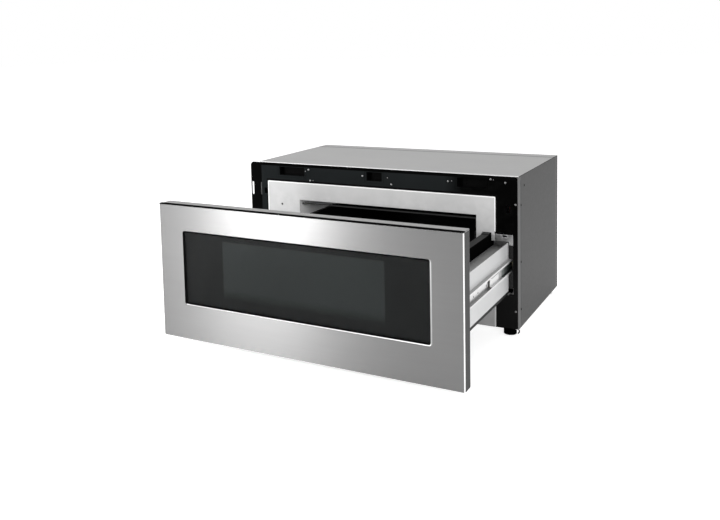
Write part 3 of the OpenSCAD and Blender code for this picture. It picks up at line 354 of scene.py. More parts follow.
def bare_metal(name, tone, rough, crystals=0.0, size=240.0, lines=0.0, across=3000.0,
               along=60.0, dust=0.08, wear=0.2, metallic=1.0, gloss=0.5):
    """Zinc, steel or alloy sheet: crystals or drawing lines, dust, and brighter rubbed edges."""
    material, tree, shader, coords = start_finish(name)
    cells = use_group(tree, zinc_crystals, {"Place": coords, "Size": size})
    brush = use_group(tree, brushed_lines, {"Place": coords, "Across": across, "Along": along})
    age = use_group(tree, age_marks, {"Place": coords, "Wear": wear, "Dust": dust})
    shade = remap(tree, cells["Shade"], 0.0, 1.0, 1 - crystals, 1 + crystals)
    stripe = remap(tree, brush["Line"], 0.3, 0.7, 1 - lines, 1 + lines)
    both = math_node(tree, "MULTIPLY", shade, stripe)
    toned = place(tree, "ShaderNodeVectorMath", {0: tone[:3], "Scale": both}, operation="SCALE")
    bright = tuple(min(1, c * 1.35) for c in tone[:3]) + (1,)
    rubbed = blend_colour(tree, age["Rubbed"], toned.outputs[0], bright)
    dusty = blend_colour(tree, age["Dusty"], rubbed, grey(0.45, 0.03))
    rough_cells = remap(tree, cells["Shade"], 0.0, 1.0,
                        rough * (1 - crystals), rough * (1 + crystals))
    connect(tree, shader, {
        "Base Color": dusty, "Roughness": rough_cells, "Metallic": metallic,
        "Specular IOR Level": gloss,
        "Normal": ripple_normal(tree, brush["Line"], 0.4 if lines else 0.1, 0.00005)})
    return material


print("base finishes ready")

# %% [markdown]
# The front is brushed stainless steel. Its lines run from side to side, so a highlight
# spreads up and down: the shader's anisotropy is turned a quarter for that, and the lines
# themselves show as a faint change of tone and of gloss. Two lines near its left end are the
# same steel as a painted highlight and a painted shade, its rounded edges are painted bright as
# highlights, and what faces sideways is painted dark as shade.

# %% Finish: brushed stainless steel


def brushed_stainless(name, tone, low_rough, high_rough, spread):
    """Steel with brushed lines. The spread is the shader's anisotropy."""
    material, tree, shader, coords = start_finish(name)
    brush = use_group(tree, brushed_lines, {"Place": coords, "Across": 2600.0, "Along": 16.0})
    coat = use_group(tree, uneven_coat, {
        "Place": coords, "Cloud Scale": 3.0, "Ripple Scale": 500.0})
    age = use_group(tree, age_marks, {"Place": coords, "Wear": 0.25, "Dust": 0.05})
    line = remap(tree, brush["Line"], 0.3, 0.7, 0.97, 1.03)
    band = remap(tree, brush["Band"], 0.3, 0.7, 0.99, 1.01)
    cloud = remap(tree, coat["Cloud"], 0.3, 0.7, 0.98, 1.02)
    shade = math_node(tree, "MULTIPLY", math_node(tree, "MULTIPLY", line, band), cloud)
    toned = place(tree, "ShaderNodeVectorMath", {0: tone[:3], "Scale": shade},
                  operation="SCALE")
    rubbed = blend_colour(tree, age["Rubbed"], toned.outputs[0], grey(min(1, tone[1] * 1.4)))
    gloss = remap(tree, brush["Line"], 0.3, 0.7, low_rough, high_rough)
    connect(tree, shader, {
        "Base Color": rubbed, "Roughness": gloss, "Metallic": 1.0,
        "Anisotropic": spread, "Anisotropic Rotation": 0.25,
        "Normal": ripple_normal(tree, brush["Line"], 0.15, 0.00002)})
    return material


stainless = brushed_stainless("brushed_stainless", grey(0.148, 0.002), 0.3, 0.34, 0.9)
line_painted_highlight = brushed_stainless("line_painted_highlight", grey(0.185, 0.002), 0.3, 0.34, 0.9)
line_painted_shade = brushed_stainless("line_painted_shade", grey(0.11, 0.002), 0.3, 0.34, 0.9)
edge_painted_highlight = brushed_stainless("edge_painted_highlight", grey(0.66), 0.27, 0.3, 0.2)
window_lip_painted_highlight = brushed_stainless("window_lip_painted_highlight", grey(0.85), 0.27, 0.3, 0.2)
right_lip_painted_highlight = brushed_stainless("right_lip_painted_highlight", grey(0.27), 0.27, 0.3, 0.2)
skin_side_painted_shade = bare_metal("skin_side_painted_shade", grey(0.026), 0.45, lines=0.05, dust=0.0, wear=0.0,
                         metallic=0.2, gloss=0.1)
print("finishes", stainless.name, edge_painted_highlight.name, window_lip_painted_highlight.name, skin_side_painted_shade.name)

# %% [markdown]
# The body's sheets are zinc-coated steel, pale on top and at the back, and painted dark at the
# sides as shade. The plate round the oven's opening and the drawer's side brackets are painted in
# pale tones.

# %% Finishes of the body and the brackets
top_zinc = bare_metal("top_zinc", grey(0.27), 0.5, crystals=0.03, size=150.0, metallic=0.3,
                      dust=0.1, gloss=0.25)
top_lip_painted_highlight = bare_metal("top_lip_painted_highlight", grey(0.52), 0.4, metallic=0.5, dust=0.0)
seam_zinc = bare_metal("seam_zinc", grey(0.16), 0.5, metallic=0.3, dust=0.0, gloss=0.2)
body_side_painted_shade = bare_metal("body_side_painted_shade", grey(0.05), 0.5, crystals=0.04, size=150.0, metallic=0.2,
                       dust=0.0, gloss=0.12)
side_fold = bare_metal("side_fold", grey(0.085), 0.5, crystals=0.04, metallic=0.2, dust=0.0,
                       gloss=0.2)
side_rear_painted_shade = bare_metal("side_rear_painted_shade", grey(0.02), 0.5, crystals=0.04, metallic=0.2, dust=0.0,
                       gloss=0.2)
back_zinc = bare_metal("back_zinc", grey(0.5), 0.42, crystals=0.08, size=120.0, metallic=0.8)
black_and_painted_shade = coated("black_and_painted_shade", grey(0.002), 0.6, gloss=0.0, dust=0.0, wear=0.0)
plate_paint = coated("plate_paint", grey(0.44), 0.42, gloss=0.3, wear=0.1, bare=grey(0.75))
plate_painted_highlight = coated("plate_painted_highlight", grey(0.86), 0.35, gloss=0.5, wear=0.1, bare=grey(0.8))
bracket_paint = coated("bracket_paint", grey(0.65, -0.006), 0.38, gloss=0.3, wear=0.1,
                       bare=grey(0.8))
bracket_painted_shade = coated("bracket_painted_shade", grey(0.6, -0.006), 0.38, gloss=0.3, wear=0.1,
                       bare=grey(0.7))
door_paint = coated("door_paint", grey(0.235), 0.45, gloss=0.1, wear=0.3, bare=grey(0.3))
liner_paint = coated("liner_paint", grey(0.95), 0.4, gloss=0.3)
carrier_zinc = bare_metal("carrier_zinc", grey(0.4), 0.4, crystals=0.1, size=220.0)
carrier_foot_painted_shade = bare_metal("carrier_foot_painted_shade", grey(0.14), 0.45, crystals=0.1, size=220.0, dust=0.0)
carrier_painted_shade = bare_metal("carrier_painted_shade", grey(0.02), 0.5, crystals=0.1, metallic=0.2, dust=0.0,
                          gloss=0.1)
shelf_zinc = bare_metal("shelf_zinc", grey(0.31), 0.45, crystals=0.08, metallic=0.7, dust=0.1)
print("body finishes ready")

# %% [markdown]
# The black front's light and shade are painted into its tone: left of the last recess it is
# painted a lit dark grey, and right of it, nearly black, painted a little lighter near the
# floor. A soft step along X and a longer one along Z carry that painted light.

# %% Finish: black front paint
LIT_LEFT_FROM = 0.195
LIT_LEFT_TO = 0.24
LOW_LIGHT_FROM = 0.1
LOW_LIGHT_TO = 0.26


def front_black_painted_light():
    material, tree, shader, coords = start_finish("front_black_painted_light")
    coat = use_group(tree, uneven_coat, {
        "Place": coords, "Cloud Scale": 6.0, "Ripple Scale": 1400.0})
    age = use_group(tree, age_marks, {"Place": coords, "Wear": 0.1, "Dust": 0.02})
    split = place(tree, "ShaderNodeSeparateXYZ", {0: coords})
    # Painted light: a step along X lights the left part, and a step along Z lightens the right
    # part near the floor.
    along = remap(tree, split.outputs["X"], LIT_LEFT_FROM, LIT_LEFT_TO, 0.0, 1.0)
    upward = remap(tree, split.outputs["Z"], LOW_LIGHT_FROM, LOW_LIGHT_TO, 0.0, 1.0)
    right = blend_colour(tree, upward, grey(0.0105), grey(0.0014))
    tone = blend_colour(tree, along, (0.0108, 0.0123, 0.0128, 1), right)
    shade = remap(tree, coat["Cloud"], 0.3, 0.7, 0.88, 1.1)
    toned = place(tree, "ShaderNodeVectorMath", {0: tone, "Scale": shade}, operation="SCALE")
    rubbed = blend_colour(tree, age["Rubbed"], toned.outputs[0], grey(0.015))
    dusty = blend_colour(tree, age["Dusty"], rubbed, grey(0.3))
    connect(tree, shader, {
        "Base Color": dusty, "Roughness": remap(tree, coat["Cloud"], 0.3, 0.7, 0.45, 0.55),
        "Specular IOR Level": 0.0,
        "Normal": ripple_normal(tree, coat["Ripple"], 0.5, 0.00006)})
    return material


frame_black = front_black_painted_light()
flange_black = coated("flange_black", grey(0.0025), 0.5, gloss=0.0, ripple=1400.0, dust=0.0,
                      wear=0.0)
rim_black = coated("rim_black", grey(0.024), 0.5, gloss=0.0, ripple=1400.0, dust=0.0, wear=0.0)
print("finishes", frame_black.name, flange_black.name, rim_black.name)

# %% [markdown]
# The slides are cold-drawn steel, with lines along their length; their middle channel is darker,
# painted lighter towards the front as light, their faces that look up or down are painted in
# shade, and their ball cages are yellowish. Screws are plated steel, painted bright, dull or dark
# by the place, as light and shade.

# %% Finishes of slides, screws and inner parts
slide_steel = bare_metal("slide_steel", grey(0.62), 0.3, lines=0.06, across=2200.0, along=40.0)
middle_steel = bare_metal("middle_steel", (0.026, 0.034, 0.032, 1), 0.35, lines=0.35,
                          across=900.0, along=30.0)
middle_painted_half_shade = bare_metal("middle_painted_half_shade", (0.075, 0.09, 0.086, 1), 0.35, lines=0.3,
                         across=900.0, along=30.0)
slide_lip = bare_metal("slide_lip", grey(0.62), 0.35, lines=0.06, across=2200.0, along=40.0)
slide_painted_shade = bare_metal("slide_painted_shade", grey(0.36), 0.4, lines=0.06, metallic=0.5, gloss=0.1)
cage_steel = bare_metal("cage_steel", (0.5, 0.44, 0.3, 1), 0.25, crystals=0.05)
screw_steel = bare_metal("screw_steel", grey(0.55), 0.25, crystals=0.06, size=900.0, dust=0.0)
# The dull and dark screws are the same plated steel, painted in shade by where they sit.
screw_painted_dim = bare_metal("screw_painted_dim", grey(0.17), 0.35, crystals=0.06, size=900.0, dust=0.0)
screw_painted_shade = bare_metal("screw_painted_shade", grey(0.02), 0.45, crystals=0.06, size=900.0, dust=0.0,
                        metallic=0.4, gloss=0.1)
motor_alloy = bare_metal("motor_alloy", grey(0.45), 0.35, crystals=0.05, size=500.0)
core_iron = bare_metal("core_iron", grey(0.12), 0.5, lines=0.25, across=1500.0, along=4.0)
coil_copper = bare_metal("coil_copper", (0.5, 0.2, 0.08, 1), 0.3, lines=0.3, across=900.0,
                         along=5.0)
black_plastic = coated("black_plastic", grey(0.008), 0.5, gloss=0.1, ripple=2500.0,
                       depth=0.00008, dust=0.03, wear=0.15, bare=grey(0.06))
socket_black = coated("socket_black", grey(0.0015), 0.6, gloss=0.02, ripple=2500.0, dust=0.0,
                      wear=0.0)
seal_rubber = coated("seal_rubber", grey(0.003), 0.6, gloss=0.0, ripple=3000.0, dust=0.0,
                     wear=0.0)
black_enamel = coated("black_enamel", grey(0.004), 0.3, gloss=0.08, ripple=300.0, dust=0.02,
                      wear=0.05, bare=grey(0.03))
white_plastic = coated("white_plastic", grey(0.62, 0.02), 0.4, ripple=2000.0, bare=grey(0.7))
board_green = coated("board_green", (0.02, 0.12, 0.05, 1), 0.35, ripple=1500.0, cloud=60.0,
                     bare=(0.3, 0.22, 0.08, 1))
switch_red = coated("switch_red", (0.32, 0.03, 0.02, 1), 0.4, ripple=2000.0)
pale_ceramic = coated("pale_ceramic", grey(0.62, 0.03), 0.15, ripple=120.0, depth=0.00012,
                      dust=0.0, wear=0.0, cloud=14.0)
rail_black = coated("rail_black", grey(0.0025), 0.5, gloss=0.0, ripple=2500.0, dust=0.0,
                    wear=0.0)
rail_top_painted_light = coated("rail_top_painted_light", grey(0.028), 0.5, gloss=0.03, ripple=2500.0, dust=0.0, wear=0.0)
foot_rubber = coated("foot_rubber", grey(0.002), 0.7, gloss=0.0, ripple=1800.0,
                     depth=0.00015, dust=0.02, wear=0.0)
print("inner finishes ready")

# %% [markdown]
# The window is a pane of smoked glass. It stays clear enough to show the punched sheet close
# behind it, so its alpha lets some light through, and its gloss is left to the shader.

# %% Finishes: smoked glass and punched sheet
SCREEN_PITCH = 2.2 * MM
SCREEN_HOLE = 0.34
SCREEN_EDGE = 2 * MM
SCREEN_SHADE_FADE = 26 * MM


def smoked_glass():
    material, tree, shader, coords = start_finish("smoked_glass")
    coat = use_group(tree, uneven_coat, {
        "Place": coords, "Cloud Scale": 5.0, "Ripple Scale": 25.0})
    haze = remap(tree, coat["Cloud"], 0.35, 0.7, 0.27, 0.32)
    tone = blend_colour(tree, coat["Cloud"], (0.004, 0.005, 0.005, 1), (0.006, 0.007, 0.007, 1))
    connect(tree, shader, {
        "Base Color": tone, "Roughness": haze, "Alpha": 0.45, "Specular IOR Level": 0.14,
        "Normal": ripple_normal(tree, coat["Ripple"], 0.03, 0.0002)})
    return material


def punched_sheet(low, high):
    """Black sheet, punched with holes between the corners low and high of its screened part."""
    material, tree, shader, coords = start_finish("punched_sheet")
    holes = use_group(tree, punched_holes, {
        "Place": coords, "Pitch": SCREEN_PITCH, "Radius": SCREEN_HOLE})
    split = place(tree, "ShaderNodeSeparateXYZ", {0: coords})
    inside = 1.0
    # The screened part is lighter, partly its own grey and partly painted light, and fades out
    # towards its bottom edge as painted shade.
    for axis, start, full, last in (
            ("X", low.x, low.x + SCREEN_EDGE, high.x),
            ("Z", low.z, low.z + SCREEN_SHADE_FADE, high.z)):
        over = remap(tree, split.outputs[axis], start, full, 0.0, 1.0)
        under = math_node(tree, "LESS_THAN", split.outputs[axis], last)
        inside = math_node(tree, "MULTIPLY", inside, math_node(tree, "MULTIPLY", over, under))
    coat = use_group(tree, uneven_coat, {
        "Place": coords, "Cloud Scale": 4.0, "Ripple Scale": 800.0})
    screened = blend_colour(tree, holes["Hole"], (0.122, 0.143, 0.14, 1), (0.095, 0.11, 0.108, 1))
    tone = blend_colour(tree, inside, grey(0.008), screened)
    shade = remap(tree, coat["Cloud"], 0.3, 0.7, 0.85, 1.15)
    toned = place(tree, "ShaderNodeVectorMath", {0: tone, "Scale": shade}, operation="SCALE")
    dull = remap(tree, coat["Cloud"], 0.3, 0.7, 0.5, 0.65)
    connect(tree, shader, {
        "Base Color": toned.outputs[0], "Roughness": dull, "Specular IOR Level": 0.2,
        "Normal": ripple_normal(tree, coat["Ripple"], 0.3, 0.00005)})
    return material


window_tint = smoked_glass()
print("finish", window_tint.name)

# %% [markdown]
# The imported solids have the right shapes, but knife-sharp edges. A folded or moulded edge is
# round and catches a line of light, so each solid is copied, its loose triangles are merged,
# its flat faces joined, and its sharp edges bevelled by a fraction of a millimetre.

# %% Helper: a CAD node with rounded edges
WELD = 1e-6
FLAT = math.radians(0.5)
SHARP = math.radians(28)
SMOOTH = math.radians(40)
pieces = {}


def merged_copy(node):
    shape = bmesh.new()
    shape.from_mesh(frame["nodes"][node].data)
    bmesh.ops.remove_doubles(shape, verts=shape.verts, dist=WELD)
    bmesh.ops.dissolve_limit(
        shape, angle_limit=FLAT, verts=shape.verts, edges=shape.edges,
        use_dissolve_boundaries=False)
    return shape


def round_edges(shape, width, steps=2, only=None):
    sharp = [edge for edge in shape.edges
             if len(edge.link_faces) == 2 and edge.calc_face_angle() > SHARP
             and (only is None or only(edge))]
    bmesh.ops.bevel(
        shape, geom=sharp, offset=width, offset_type="OFFSET", affect="EDGES", segments=steps,
        profile=0.5, material=-1, clamp_overlap=True)
    return len(sharp)


def add_piece(name, shape, body, slot, *finishes):
    """Makes an object of a bmesh, smooth with sharp corners, and lets it ride on its body."""
    mesh = bpy.data.meshes.new(name)
    shape.to_mesh(mesh)
    shape.free()
    mesh.polygons.foreach_set("use_smooth", [True] * len(mesh.polygons))
    mesh.set_sharp_from_angle(angle=SMOOTH)
    for finish in finishes:
        mesh.materials.append(finish)
    piece = bpy.data.objects.new(name, mesh)
    bpy.context.scene.collection.objects.link(piece)
    piece.modifiers.new("even_normals", "WEIGHTED_NORMAL").keep_sharp = True
    graph = bpy.context.evaluated_depsgraph_get()
    piece.data = bpy.data.meshes.new_from_object(piece.evaluated_get(graph))
    piece.modifiers.clear()
    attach(piece, body)
    pieces[name] = piece
    return piece


def dress(node, finish, width, steps=2, reshape=None):
    """Stands a rounded copy in for a CAD node."""
    shape = merged_copy(node)
    if reshape:
        reshape(shape)
    edges = round_edges(shape, width, steps)
    piece = add_piece(node + "_formed", shape, body_of_node[node], slot_of_node[node], finish)
    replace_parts(piece, node)
    print(f"{node}: {edges} edges rounded, {len(piece.data.polygons)} faces")
    return piece


def retone(piece, finish, chosen):
    """Gives the faces for which chosen(face) holds a finish of their own."""
    number = len(piece.data.materials)
    piece.data.materials.append(finish)
    faces = [face for face in piece.data.polygons if chosen(face)]
    for face in faces:
        face.material_index = number
    print(f"{piece.name}: {finish.name} on {len(faces)} faces")


def cut(shape, at, normal):
    """Cuts flat faces in two along a plane, so that each side can have its own finish."""
    bmesh.ops.bisect_plane(
        shape, geom=shape.verts[:] + shape.edges[:] + shape.faces[:], dist=WELD,
        plane_co=at, plane_no=normal)


def finish_node(node, finish):
    """A hidden inner part keeps its solid and gets a finish."""
    mesh = frame["nodes"][node].data
    mesh.materials.clear()
    mesh.materials.append(finish)


def sheet(corners, along, round_by=0.0, steps=2):
    """A plate with the outline of its corners, as thick as the vector along."""
    shape = bmesh.new()
    face = shape.faces.new([shape.verts.new(corner) for corner in corners])
    raised = bmesh.ops.extrude_face_region(shape, geom=[face], use_keep_orig=True)["geom"]
    moved = [item for item in raised if isinstance(item, bmesh.types.BMVert)]
    bmesh.ops.translate(shape, verts=moved, vec=along)
    bmesh.ops.recalc_face_normals(shape, faces=shape.faces)
    if round_by:
        round_edges(shape, round_by, steps)
    return shape


def front_plate(across, up, y, thick, round_by):
    """A plate that faces the front, from its reach across and up, its plane and thickness."""
    (low_x, high_x), (low_z, high_z) = across, up
    return sheet(
        [(low_x, y, low_z), (high_x, y, low_z), (high_x, y, high_z), (low_x, y, high_z)],
        (0, thick, 0), round_by)


def rim_ring(low, high, width, depth, round_by, corner=0.0):
    """A flat frame just inside the rectangle low, high, standing out from the plane Y = low.y."""
    shape = bmesh.new()
    corners = [shape.verts.new((x, low.y, z)) for x, z in (
        (low.x, low.z), (high.x, low.z), (high.x, high.z), (low.x, high.z))]
    shape.faces.new(corners)
    if corner:
        bmesh.ops.bevel(
            shape, geom=corners, offset=corner, offset_type="OFFSET", affect="VERTICES",
            segments=5, profile=0.5, material=-1)
    # A face that was just made has no normal yet, and the bevel of the corners gives it one.
    # Without that bevel the inset stays without width, and the ring is left as a thin wall
    # along its outline. Calling shape.normal_update() before it would mend that.
    rim = bmesh.ops.inset_region(
        shape, faces=shape.faces[:], thickness=width, use_boundary=True,
        use_even_offset=True)["faces"]
    middle = [face for face in shape.faces if face not in rim]
    bmesh.ops.delete(shape, geom=middle, context="FACES_ONLY")
    raised = bmesh.ops.extrude_face_region(
        shape, geom=shape.faces[:], use_keep_orig=True)["geom"]
    moved = [item for item in raised if isinstance(item, bmesh.types.BMVert)]
    bmesh.ops.translate(shape, verts=moved, vec=(0, -depth, 0))
    bmesh.ops.recalc_face_normals(shape, faces=shape.faces)
    round_edges(shape, round_by)
    return shape


def absorb(shape, part):
    """Adds a part to a shape."""
    mesh = bpy.data.meshes.new("part")
    part.to_mesh(mesh)
    part.free()
    shape.from_mesh(mesh)
    bpy.data.meshes.remove(mesh)


print("rounding helper ready")

# %% [markdown]
# The front's skin is one sheet, folded back at both sides. Its window is known from the pane,
# whose margin it covers.

# %% Sizes of the steel skin
LIP = 1.2 * MM
RIGHT_LIP = 2.6 * MM
SKIN_DROP = 2.7 * MM
TOP_ZONE = 2 * MM
TOP_CHAMFER = 0.9 * MM
LEFT_LINE = (2.2 * MM, 4.4 * MM)
GLASS_MARGIN = 10 * MM
WINDOW_RADIUS = 9 * MM
WINDOW_CORNER = 6 * MM
WINDOW_REACH = 4 * MM
skin_low, skin_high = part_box("door_skin")
glass_low, glass_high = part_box("window_glass")
window_low = glass_low + Vector((GLASS_MARGIN, 0, GLASS_MARGIN))
window_high = glass_high - Vector((GLASS_MARGIN, 0, GLASS_MARGIN))
window_middle = (window_low + window_high) / 2
print("window", round((window_high.x - window_low.x) / MM), "by",
      round((window_high.z - window_low.z) / MM), "mm")

# %% [markdown]
# The edge of the window is drawn inwards, and its sloping wall is painted bright as a highlight,
# which shows as the bright line round the glass. On the copy, the front corners of the opening
# are moved outwards from it, so that its wall slopes. The right wall also reaches further in
# behind. Two cuts near the left edge bound the lines of painted highlight and painted shade there,
# and the top edge is lowered for the cap that lies on it.

# %% Shaping the skin


def draw_window_lip(shape):
    """Tightens the opening's corners and slopes its front edge."""
    tighter = WINDOW_RADIUS - WINDOW_CORNER
    for vert in shape.verts:
        at = vert.co
        in_x = window_low.x - WELD < at.x < window_high.x + WELD
        in_z = window_low.z - WELD < at.z < window_high.z + WELD
        if not (in_x and in_z):
            continue
        core = Vector((
            min(max(at.x, window_low.x + WINDOW_RADIUS), window_high.x - WINDOW_RADIUS), at.y,
            min(max(at.z, window_low.z + WINDOW_RADIUS), window_high.z - WINDOW_RADIUS)))
        way = (at - core).normalized()
        core.x += math.copysign(tighter, at.x - window_middle.x)
        core.z += math.copysign(tighter, at.z - window_middle.z)
        front = at.y < skin_low.y + WELD
        drawn = RIGHT_LIP * max(0, way.x)
        vert.co = core + way * (WINDOW_CORNER + (LIP if front else -drawn))


def form_skin(shape):
    draw_window_lip(shape)
    for reach in LEFT_LINE:
        cut(shape, (skin_low.x + reach, 0, 0), (1, 0, 0))
    for vert in shape.verts:
        if vert.co.z > skin_high.z - TOP_ZONE:
            vert.co.z -= SKIN_DROP
    round_edges(shape, TOP_CHAMFER, 2, lambda edge: all(
        vert.co.y < skin_low.y + WELD and vert.co.z > skin_high.z - SKIN_DROP - WELD
        for vert in edge.verts))


def in_window(at):
    in_x = window_low.x - WINDOW_REACH < at.x < window_high.x + WINDOW_REACH
    return in_x and window_low.z - WINDOW_REACH < at.z < window_high.z + WINDOW_REACH


print("skin shaping ready")

# %% [markdown]
# Each face of the skin gets its finish from the way it looks, read from its normal: the flat
# front is brushed, the rounded side is painted bright as a highlight, and what looks straight
# sideways is painted dark as shade. Round the window the sloping wall is painted bright as a
# highlight, dimmer at the right, and at the left it takes the black of the rubber.

# %% The skin and its finishes
SIDEWAYS = 0.97
TURNING = 0.42
LEFTWARD = -0.1
UPWARD = 0.3
FORWARD = -0.9
FLAT_FRONT = -0.99
TO_THE_LEFT = -0.2
TO_THE_RIGHT = 0.3


def from_left(face):
    return face.center.x - skin_low.x


skin = dress("door_skin", stainless, 0.3 * MM, reshape=form_skin)
# Painted shade: the skin's faces that look straight sideways are the same steel, painted nearly
# black.
retone(skin, skin_side_painted_shade, lambda face:
       face.normal.x > SIDEWAYS or face.normal.x < LEFTWARD)
# Painted highlight: the rounded edges and upward faces of the skin are the same steel in a much
# brighter tone.
retone(skin, edge_painted_highlight, lambda face: (
    TURNING < face.normal.x < SIDEWAYS or face.normal.z > UPWARD) and not in_window(face.center))
# Painted shade on the outermost line of the left end, and a painted highlight on the line beside
# it.
retone(skin, line_painted_shade, lambda face: face.normal.y < FORWARD and from_left(face) < LEFT_LINE[0])
retone(skin, line_painted_highlight, lambda face: LEFT_LINE[0] < from_left(face) < LEFT_LINE[1])
# Painted highlight on the window's sloping wall, in a dimmer tone at its right side.
retone(skin, window_lip_painted_highlight, lambda face: face.normal.y > FLAT_FRONT and in_window(face.center))
retone(skin, right_lip_painted_highlight, lambda face: face.normal.x < TO_THE_LEFT and in_window(face.center)
       and face.center.x > window_middle.x)
retone(skin, seal_rubber, lambda face: face.normal.x > TO_THE_RIGHT and in_window(face.center)
       and face.center.x < window_middle.x)

# %% [markdown]
# A black cap closes the gap above the skin. Seen from the side it is an L, so its outline is
# drawn once and pulled along the front. The gasket is a flat ring that lies on the pane.

# %% Cap of the top edge, gasket and door body
FIT = 0.05 * MM
CAP_WALL = 1.15 * MM
CAP_FRONT_GAP = 0.1 * MM
CAP_DEPTH = 9.5 * MM
CAP_SIDE_GAP = 1 * MM
GASKET_RING = (3.4 * MM, 1.5 * MM)
cap_y = (skin_low.y + CAP_FRONT_GAP, skin_low.y + CAP_WALL, skin_low.y + CAP_DEPTH)
cap_z = (skin_high.z - SKIN_DROP + FIT, skin_high.z - CAP_WALL, skin_high.z)
door_cap = sheet(
    [(skin_low.x + CAP_SIDE_GAP, y, z) for y, z in (
        (cap_y[0], cap_z[0]), (cap_y[1], cap_z[0]), (cap_y[1], cap_z[1]),
        (cap_y[2], cap_z[1]), (cap_y[2], cap_z[2]), (cap_y[0], cap_z[2]))],
    (skin_high.x - skin_low.x - 2 * CAP_SIDE_GAP, 0, 0), 0.3 * MM)
add_piece("door_cap", door_cap, "drawer", "black_plastic", seal_rubber)
gasket = rim_ring(
    Vector((window_low.x + FIT, glass_low.y, window_low.z + FIT)),
    Vector((window_high.x - FIT, glass_low.y, window_high.z - FIT)),
    GASKET_RING[0], GASKET_RING[1], 0.3 * MM, WINDOW_CORNER)
add_piece("window_gasket", gasket, "drawer", "black_plastic", seal_rubber)
dress("door_seam", seal_rubber, 0.4 * MM)
dress("door_body", door_paint, 0.5 * MM)

# %% [markdown]
# Behind the skin lie the seal, the pane with its ground edges, and the punched sheet.

# %% The window
SCREEN_WIDTH = 410 * MM
SCREEN_HEIGHT = 136 * MM
SCREEN_DROP = 17 * MM
screened_low = Vector((-SCREEN_WIDTH / 2, 0, window_high.z - SCREEN_DROP - SCREEN_HEIGHT))
screened_high = Vector((SCREEN_WIDTH / 2, 0, window_high.z - SCREEN_DROP))
screen_finish = punched_sheet(screened_low, screened_high)
dress("glass_seal", seal_rubber, 0.25 * MM)
dress("window_glass", window_tint, 0.5 * MM)
dress("window_screen", screen_finish, 0.2 * MM, steps=1)
dress("inner_door_panel", door_paint, 0.4 * MM)
dress("choke_cover", black_plastic, 0.5 * MM)

# %% [markdown]
# The tub is deep-drawn, so its edges are rounder than those of folded sheet. The brackets'
# upright sheets are painted, their upper half a little darker as painted shade, while their
# shelves show bare grey metal.

# %% Tub, tray, brackets and rails
dress("drawer_tub", black_enamel, 0.6 * MM, steps=3)
dress("ceramic_tray", pale_ceramic, 1.5 * MM, steps=3)
slide_low, slide_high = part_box("drawer_members")
BRACKET_MIDDLE = (slide_low.z + slide_high.z) / 2


def cut_bracket(shape):
    cut(shape, (0, 0, BRACKET_MIDDLE), (0, 0, 1))


for node in ("bracket_left", "bracket_right"):
    bracket = dress(node, bracket_paint, 0.45 * MM, reshape=cut_bracket)
    # Painted shade: the upper half of each bracket is the same paint in a darker tone.
    retone(bracket, bracket_painted_shade, lambda face: face.center.z > BRACKET_MIDDLE)
    retone(bracket, shelf_zinc, lambda face: face.normal.z > 0.5)
# Painted light: the rails' upward faces are the same black plastic in a lighter grey; the bar
# across the cavity takes that grey too.
retone(dress("side_rails", rail_black, 1.0 * MM, steps=3), rail_top_painted_light,
       lambda face: face.normal.z > 0.6)
dress("bracket_strips", black_plastic, 0.8 * MM)
dress("drive_rack", white_plastic, 0.2 * MM, steps=1)
dress("latch_hooks", white_plastic, 0.3 * MM)

# %% [markdown]
# Each slide has three drawn channels that nest, and two cages of balls between them. The
# middle channel is painted darker towards the body, as shade, so it is cut across in three places,
# and the stretches get finishes of their own, lighter towards the front.

# %% Slides
SLIDE_WEB = 8 * MM
MIDDLE_FRONT = (62 * MM, 84 * MM, 104 * MM)
members = dress("drawer_members", slide_steel, 0.35 * MM)
retone(members, slide_lip, lambda face: abs(face.normal.x) > 0.9
       and abs(face.center.z - BRACKET_MIDDLE) > SLIDE_WEB)
# Painted shade: the drawer member's faces that look up or down are made darker.
retone(members, slide_painted_shade, lambda face: abs(face.normal.z) > 0.5)


def cut_middle(shape):
    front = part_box("middle_member_right")[0].y
    for reach in MIDDLE_FRONT:
        cut(shape, (0, front + reach, 0), (0, 1, 0))


for node in ("middle_member_left", "middle_member_right"):
    middle = dress(node, middle_steel, 0.35 * MM, reshape=cut_middle)
    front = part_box(node)[0].y
    # From the body forward, the middle channel's stretches are painted lighter step by step, as
    # light and shade.
    retone(middle, middle_painted_half_shade, lambda face: face.center.y < front + MIDDLE_FRONT[2])
    retone(middle, slide_painted_shade, lambda face: face.center.y < front + MIDDLE_FRONT[1])
    retone(middle, slide_lip, lambda face: face.center.y < front + MIDDLE_FRONT[0])
dress("cabinet_members", slide_steel, 0.3 * MM)
dress("outer_ball_cages", cage_steel, 0.1 * MM, steps=1)
dress("inner_ball_cages", cage_steel, 0.1 * MM, steps=1)

# %% [markdown]
# The carriers hold the slides to the body, and their bent tabs show beside the plate. Each tab
# is trimmed a little at both ends, and the stretch behind the slide and the foot below it are
# painted dark as shade.

# %% Slide carriers
TAB_SHADE = (117 * MM, 222 * MM)
TAB_TRIM = (10 * MM, 5 * MM)
tab_low, tab_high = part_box("slide_carrier_right")


def cut_tab(shape):
    for vert in shape.verts:
        if vert.co.z > tab_high.z - WELD:
            vert.co.z -= TAB_TRIM[1]
        if vert.co.z < tab_low.z + WELD:
            vert.co.z += TAB_TRIM[0]
    for level in TAB_SHADE:
        cut(shape, (0, 0, level), (0, 0, 1))


for node in ("slide_carrier_left", "slide_carrier_right"):
    carrier = dress(node, carrier_zinc, 0.4 * MM, reshape=cut_tab)
    # Painted shade: the tab's stretch behind the slide and its foot are the same zinc in darker
    # tones.
    retone(carrier, carrier_painted_shade, lambda face: TAB_SHADE[0] < face.center.z < TAB_SHADE[1])
    retone(carrier, carrier_foot_painted_shade, lambda face: face.center.z < TAB_SHADE[0])

